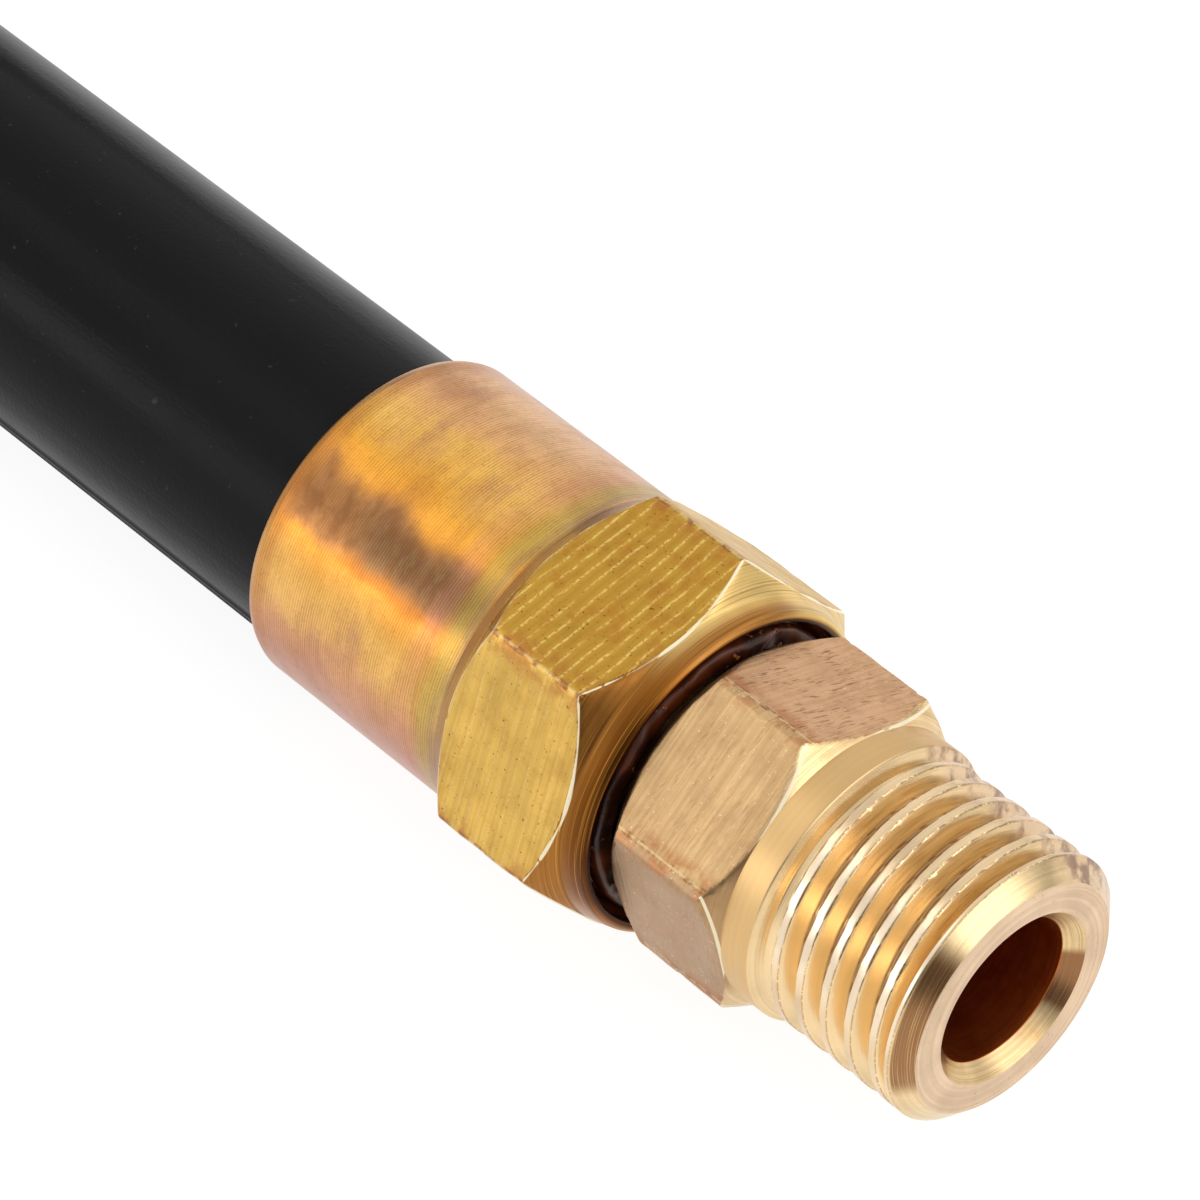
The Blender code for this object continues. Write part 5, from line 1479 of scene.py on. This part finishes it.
class TORCH_OT_nozzle(bpy.types.Operator):
    """Presses the ceramic nozzle and its gasket"""

    bl_idname = "torch.nozzle"
    bl_label = "Nozzle and gasket"

    def execute(self, context):
        low, high = span("cup_gasket", HEAD, AHEAD)
        outer = girth("cup_gasket", HEAD, AHEAD)
        inner, soft, edge = 6.6 * MM, 0.5 * MM, 0.2 * MM
        ring = [(inner, low, edge), (outer, low, soft), (outer, high, soft), (inner, high, edge)]
        gasket = turned("nozzle_gasket", rounded(ring), 128, HEAD_PLACE)
        fit(gasket, "nozzle_travel", "ptfe", ["cup_gasket"], turned_ptfe)
        back, front = span("ceramic_nozzle", HEAD, AHEAD)
        root = girth("ceramic_nozzle", HEAD, AHEAD)
        lip, bore = root - 1.0 * MM, 7.0 * MM
        corners = [
            (inner, back, 0.3 * MM),
            (root, back, 0.8 * MM),
            (root, back + 14 * MM, 2.0 * MM),
            (lip, back + 17 * MM, 3.0 * MM),
            (lip, front, 0.9 * MM),
            (bore, front, 0.9 * MM),
            (bore, back + 10.5 * MM, 0.4 * MM),
            (inner, back + 10 * MM, 0.4 * MM),
        ]
        nozzle = turned("gas_nozzle", rounded(corners, 0.8 * MM), 128, HEAD_PLACE)
        fit(nozzle, "nozzle", "alumina", ["ceramic_nozzle"], fired_alumina)
        return {"FINISHED"}


def fluted(radius, angle, count, depth):
    """Cuts rounded flutes, wider than the lands between them."""
    wave = 0.5 - 0.5 * np.cos(count * angle)
    return radius - depth * wave**0.8


class TORCH_OT_cap(bpy.types.Operator):
    """Moulds the long back cap with its fluted grip"""

    bl_idname = "torch.cap"
    bl_label = "Back cap"

    def execute(self, context):
        rear, stub = span("back_cap", HEAD, AHEAD)
        ring_low, ring_high = span("back_cap_o_ring", HEAD, AHEAD)
        face = ring_low - GAP
        neck, body, end = 7.0 * MM, 8.4 * MM, 6.0 * MM
        root = girth("back_cap", HEAD, AHEAD)
        grip = face - 11 * MM
        corners = [
            (0, rear, 0),
            (end, rear, 2.4 * MM),
            (body, grip - 11 * MM, 6 * MM),
            (body, grip - 1.5 * MM, 0.5 * MM),
            (root, grip, 0.6 * MM),
            (root, face, 0.9 * MM),
            (neck, face, 0.2 * MM),
            (neck, ring_high + GAP, 0.2 * MM),
            (5.0 * MM, ring_high + GAP, 0.2 * MM),
            (5.0 * MM, stub, 0.3 * MM),
            (2.6 * MM, stub, 0.3 * MM),
            (2.6 * MM, -39.3 * MM, 0),
            (1.8 * MM, -39.3 * MM, 0),
            (1.8 * MM, rear + 12 * MM, 0),
            (0, rear + 12 * MM, 0),
        ]

        def reshape(radius, angle, height, across):
            grip_here = (height > grip - 0.2 * MM) & (height < face + GAP) & (radius > body)
            radius = radius.copy()
            radius[grip_here] = fluted(radius[grip_here], angle[grip_here], 12, 0.7 * MM)
            return radius, angle, height, across

        cap = turned("torch_back_cap", rounded(corners, 1.0 * MM), 240, HEAD_PLACE, reshape, sharp=50)
        fit(cap, "cap", "phenolic", ["back_cap"], moulded_phenolic)
        return {"FINISHED"}


class TORCH_OT_valve(bpy.types.Operator):
    """Moulds the valve body and its knob"""

    bl_idname = "torch.valve"
    bl_label = "Valve"

    def execute(self, context):
        rear, front = VALVE_BODY
        shoulder = front - 26.0 * MM
        radius, edge = 10.5 * MM, 0.8 * MM
        corners = [
            (0, rear, 0),
            (9.3 * MM, rear, 0.4 * MM),
            (9.3 * MM, shoulder, 0.2 * MM),
            (radius, shoulder, edge),
            (radius, front, edge),
            (0, front, 0),
        ]
        body = turned("gas_valve_body", rounded(corners), 96, HANDLE_PLACE)
        boss_top = 17.0 * MM
        boss = [(0, 0, 0), (7 * MM, 0, 0), (7 * MM, boss_top, edge), (0, boss_top, 0)]
        combined(body, [turned("boss", rounded(boss), 96, VALVE_PLACE)], "UNION")
        rods = [
            solid_rod("tube_seat", 4.3 * MM, front - 8 * MM, front + MM, HANDLE_PLACE),
            solid_rod("nipple_seat", 4.9 * MM, rear - MM, rear + 8 * MM, HANDLE_PLACE),
            solid_rod("passage", 2.0 * MM, rear - MM, front + MM, HANDLE_PLACE),
            solid_rod("stem_bore", 2.7 * MM, -2.0 * MM, boss_top + MM, VALVE_PLACE),
        ]
        combined(body, rods, "DIFFERENCE")
        remeshed(body, voxel=0.34 * MM, passes=10)
        fit(body, "torch", "phenolic", ["valve_body"], moulded_phenolic)

        low, high = span("valve_knob", VALVE_CENTRE, VALVE_AXIS)
        knob_r = girth("valve_knob", VALVE_CENTRE, VALVE_AXIS)
        stem_r = 2.7 * MM
        top = low + 8.5 * MM
        corners = [
            (stem_r, low, 0.2 * MM),
            (knob_r, low, 0.9 * MM),
            (knob_r, high, 1.2 * MM),
            (5.6 * MM, high, 0.6 * MM),
            (5.0 * MM, high - 0.7 * MM, 0.6 * MM),
            (0, high - 0.7 * MM, 0),
            (0, top, 0),
            (stem_r, top, 0),
        ]

        def reshape(radius, angle, height, across):
            rim = radius > 5.8 * MM
            radius = radius.copy()
            radius[rim] = fluted(radius[rim], angle[rim], 10, 0.9 * MM)
            return radius, angle, height, across

        knob = turned("gas_valve_knob", rounded(corners, 0.4 * MM), 240, VALVE_PLACE, reshape, sharp=50)
        fit(knob, "valve", "knob_plastic", ["valve_knob"], knob_nylon)
        return {"FINISHED"}


class TORCH_OT_handle(bpy.types.Operator):
    """Moulds the ribbed handle"""

    bl_idname = "torch.handle"
    bl_label = "Handle"

    def execute(self, context):
        rear, front = span("handle", HEAD, ALONG)
        radius = girth("handle", HEAD, ALONG)
        end, bore, lip = radius - 1.0 * MM, 9.6 * MM, HOSE_R + 2 * GAP
        corners = [(end, rear, 0.5 * MM), (radius, rear + 1.0 * MM, 1.0 * MM)]
        for rib in reversed(range(8)):
            groove = front - 12 * MM - rib * 9 * MM
            corners += [
                (radius, groove - 1.4 * MM, 0.35 * MM),
                (radius - 0.9 * MM, groove - 0.7 * MM, 0.35 * MM),
                (radius - 0.9 * MM, groove + 0.7 * MM, 0.35 * MM),
                (radius, groove + 1.4 * MM, 0.35 * MM),
            ]
        corners += [
            (radius, front - 1.0 * MM, 1.0 * MM),
            (end, front, 0.5 * MM),
            (bore, front, 0.3 * MM),
            (bore, rear + 6 * MM + (bore - lip), 0),
            (lip, rear + 6 * MM, 0.3 * MM),
            (lip, rear, 0.3 * MM),
        ]
        handle = turned("torch_handle", rounded(corners, 1.5 * MM), 128, HANDLE_PLACE, sharp=50)
        fit(handle, "torch", "handle_plastic", ["handle"], filled_nylon)
        return {"FINISHED"}


class TORCH_OT_inner_parts(bpy.types.Operator):
    """Finishes the solids whose shape is right: core, collet, electrode, stem, rings, hose ends"""

    bl_idname = "torch.inner_parts"
    bl_label = "Inner parts"

    def execute(self, context):
        keep(stock_brass, "head_core", "torch_nipple", "torch_ferrule", "valve_stem")
        keep(drawn_copper, "collet_body", "collet", "neck_tube")
        keep(drawn_copper, "torch_conductor", "fitting_conductor")
        keep(ground_tungsten, "tungsten_electrode")
        keep(nitrile_rubber, "back_cap_o_ring", "valve_o_ring")
        keep(nitrile_rubber, "torch_hose_end", "fitting_hose_end")
        return {"FINISHED"}


OPERATORS = (
    TORCH_OT_stage,
    TORCH_OT_straps,
    TORCH_OT_socket,
    TORCH_OT_connector,
    TORCH_OT_seals,
    TORCH_OT_hose,
    TORCH_OT_head,
    TORCH_OT_nozzle,
    TORCH_OT_cap,
    TORCH_OT_valve,
    TORCH_OT_handle,
    TORCH_OT_inner_parts,
)


class TORCH_PT_panel(bpy.types.Panel):
    """Lists the torch's pieces, sizes and colours"""

    bl_idname = "TORCH_PT_panel"
    bl_label = "Torch"
    bl_space_type = "VIEW_3D"
    bl_region_type = "UI"
    bl_category = "Torch"

    def draw(self, context):
        for group in (context.scene.torch_sizes, context.scene.torch_colours):
            box = self.layout.box()
            for name in group.__annotations__:
                box.prop(group, name)
        column = self.layout.column()
        for operator in OPERATORS:
            column.operator(operator.bl_idname)


CLASSES = (TorchSizes, TorchColours, *OPERATORS, TORCH_PT_panel)


def register():
    for cls in CLASSES:
        bpy.utils.register_class(cls)
    bpy.types.Scene.torch_sizes = bpy.props.PointerProperty(type=TorchSizes)
    bpy.types.Scene.torch_colours = bpy.props.PointerProperty(type=TorchColours)


def unregister():
    del bpy.types.Scene.torch_sizes
    del bpy.types.Scene.torch_colours
    for cls in reversed(CLASSES):
        bpy.utils.unregister_class(cls)


def main():
    register()
    for operator in OPERATORS:
        group, name = operator.bl_idname.split(".")
        getattr(getattr(bpy.ops, group), name)()


if __name__ == "__main__":
    main()
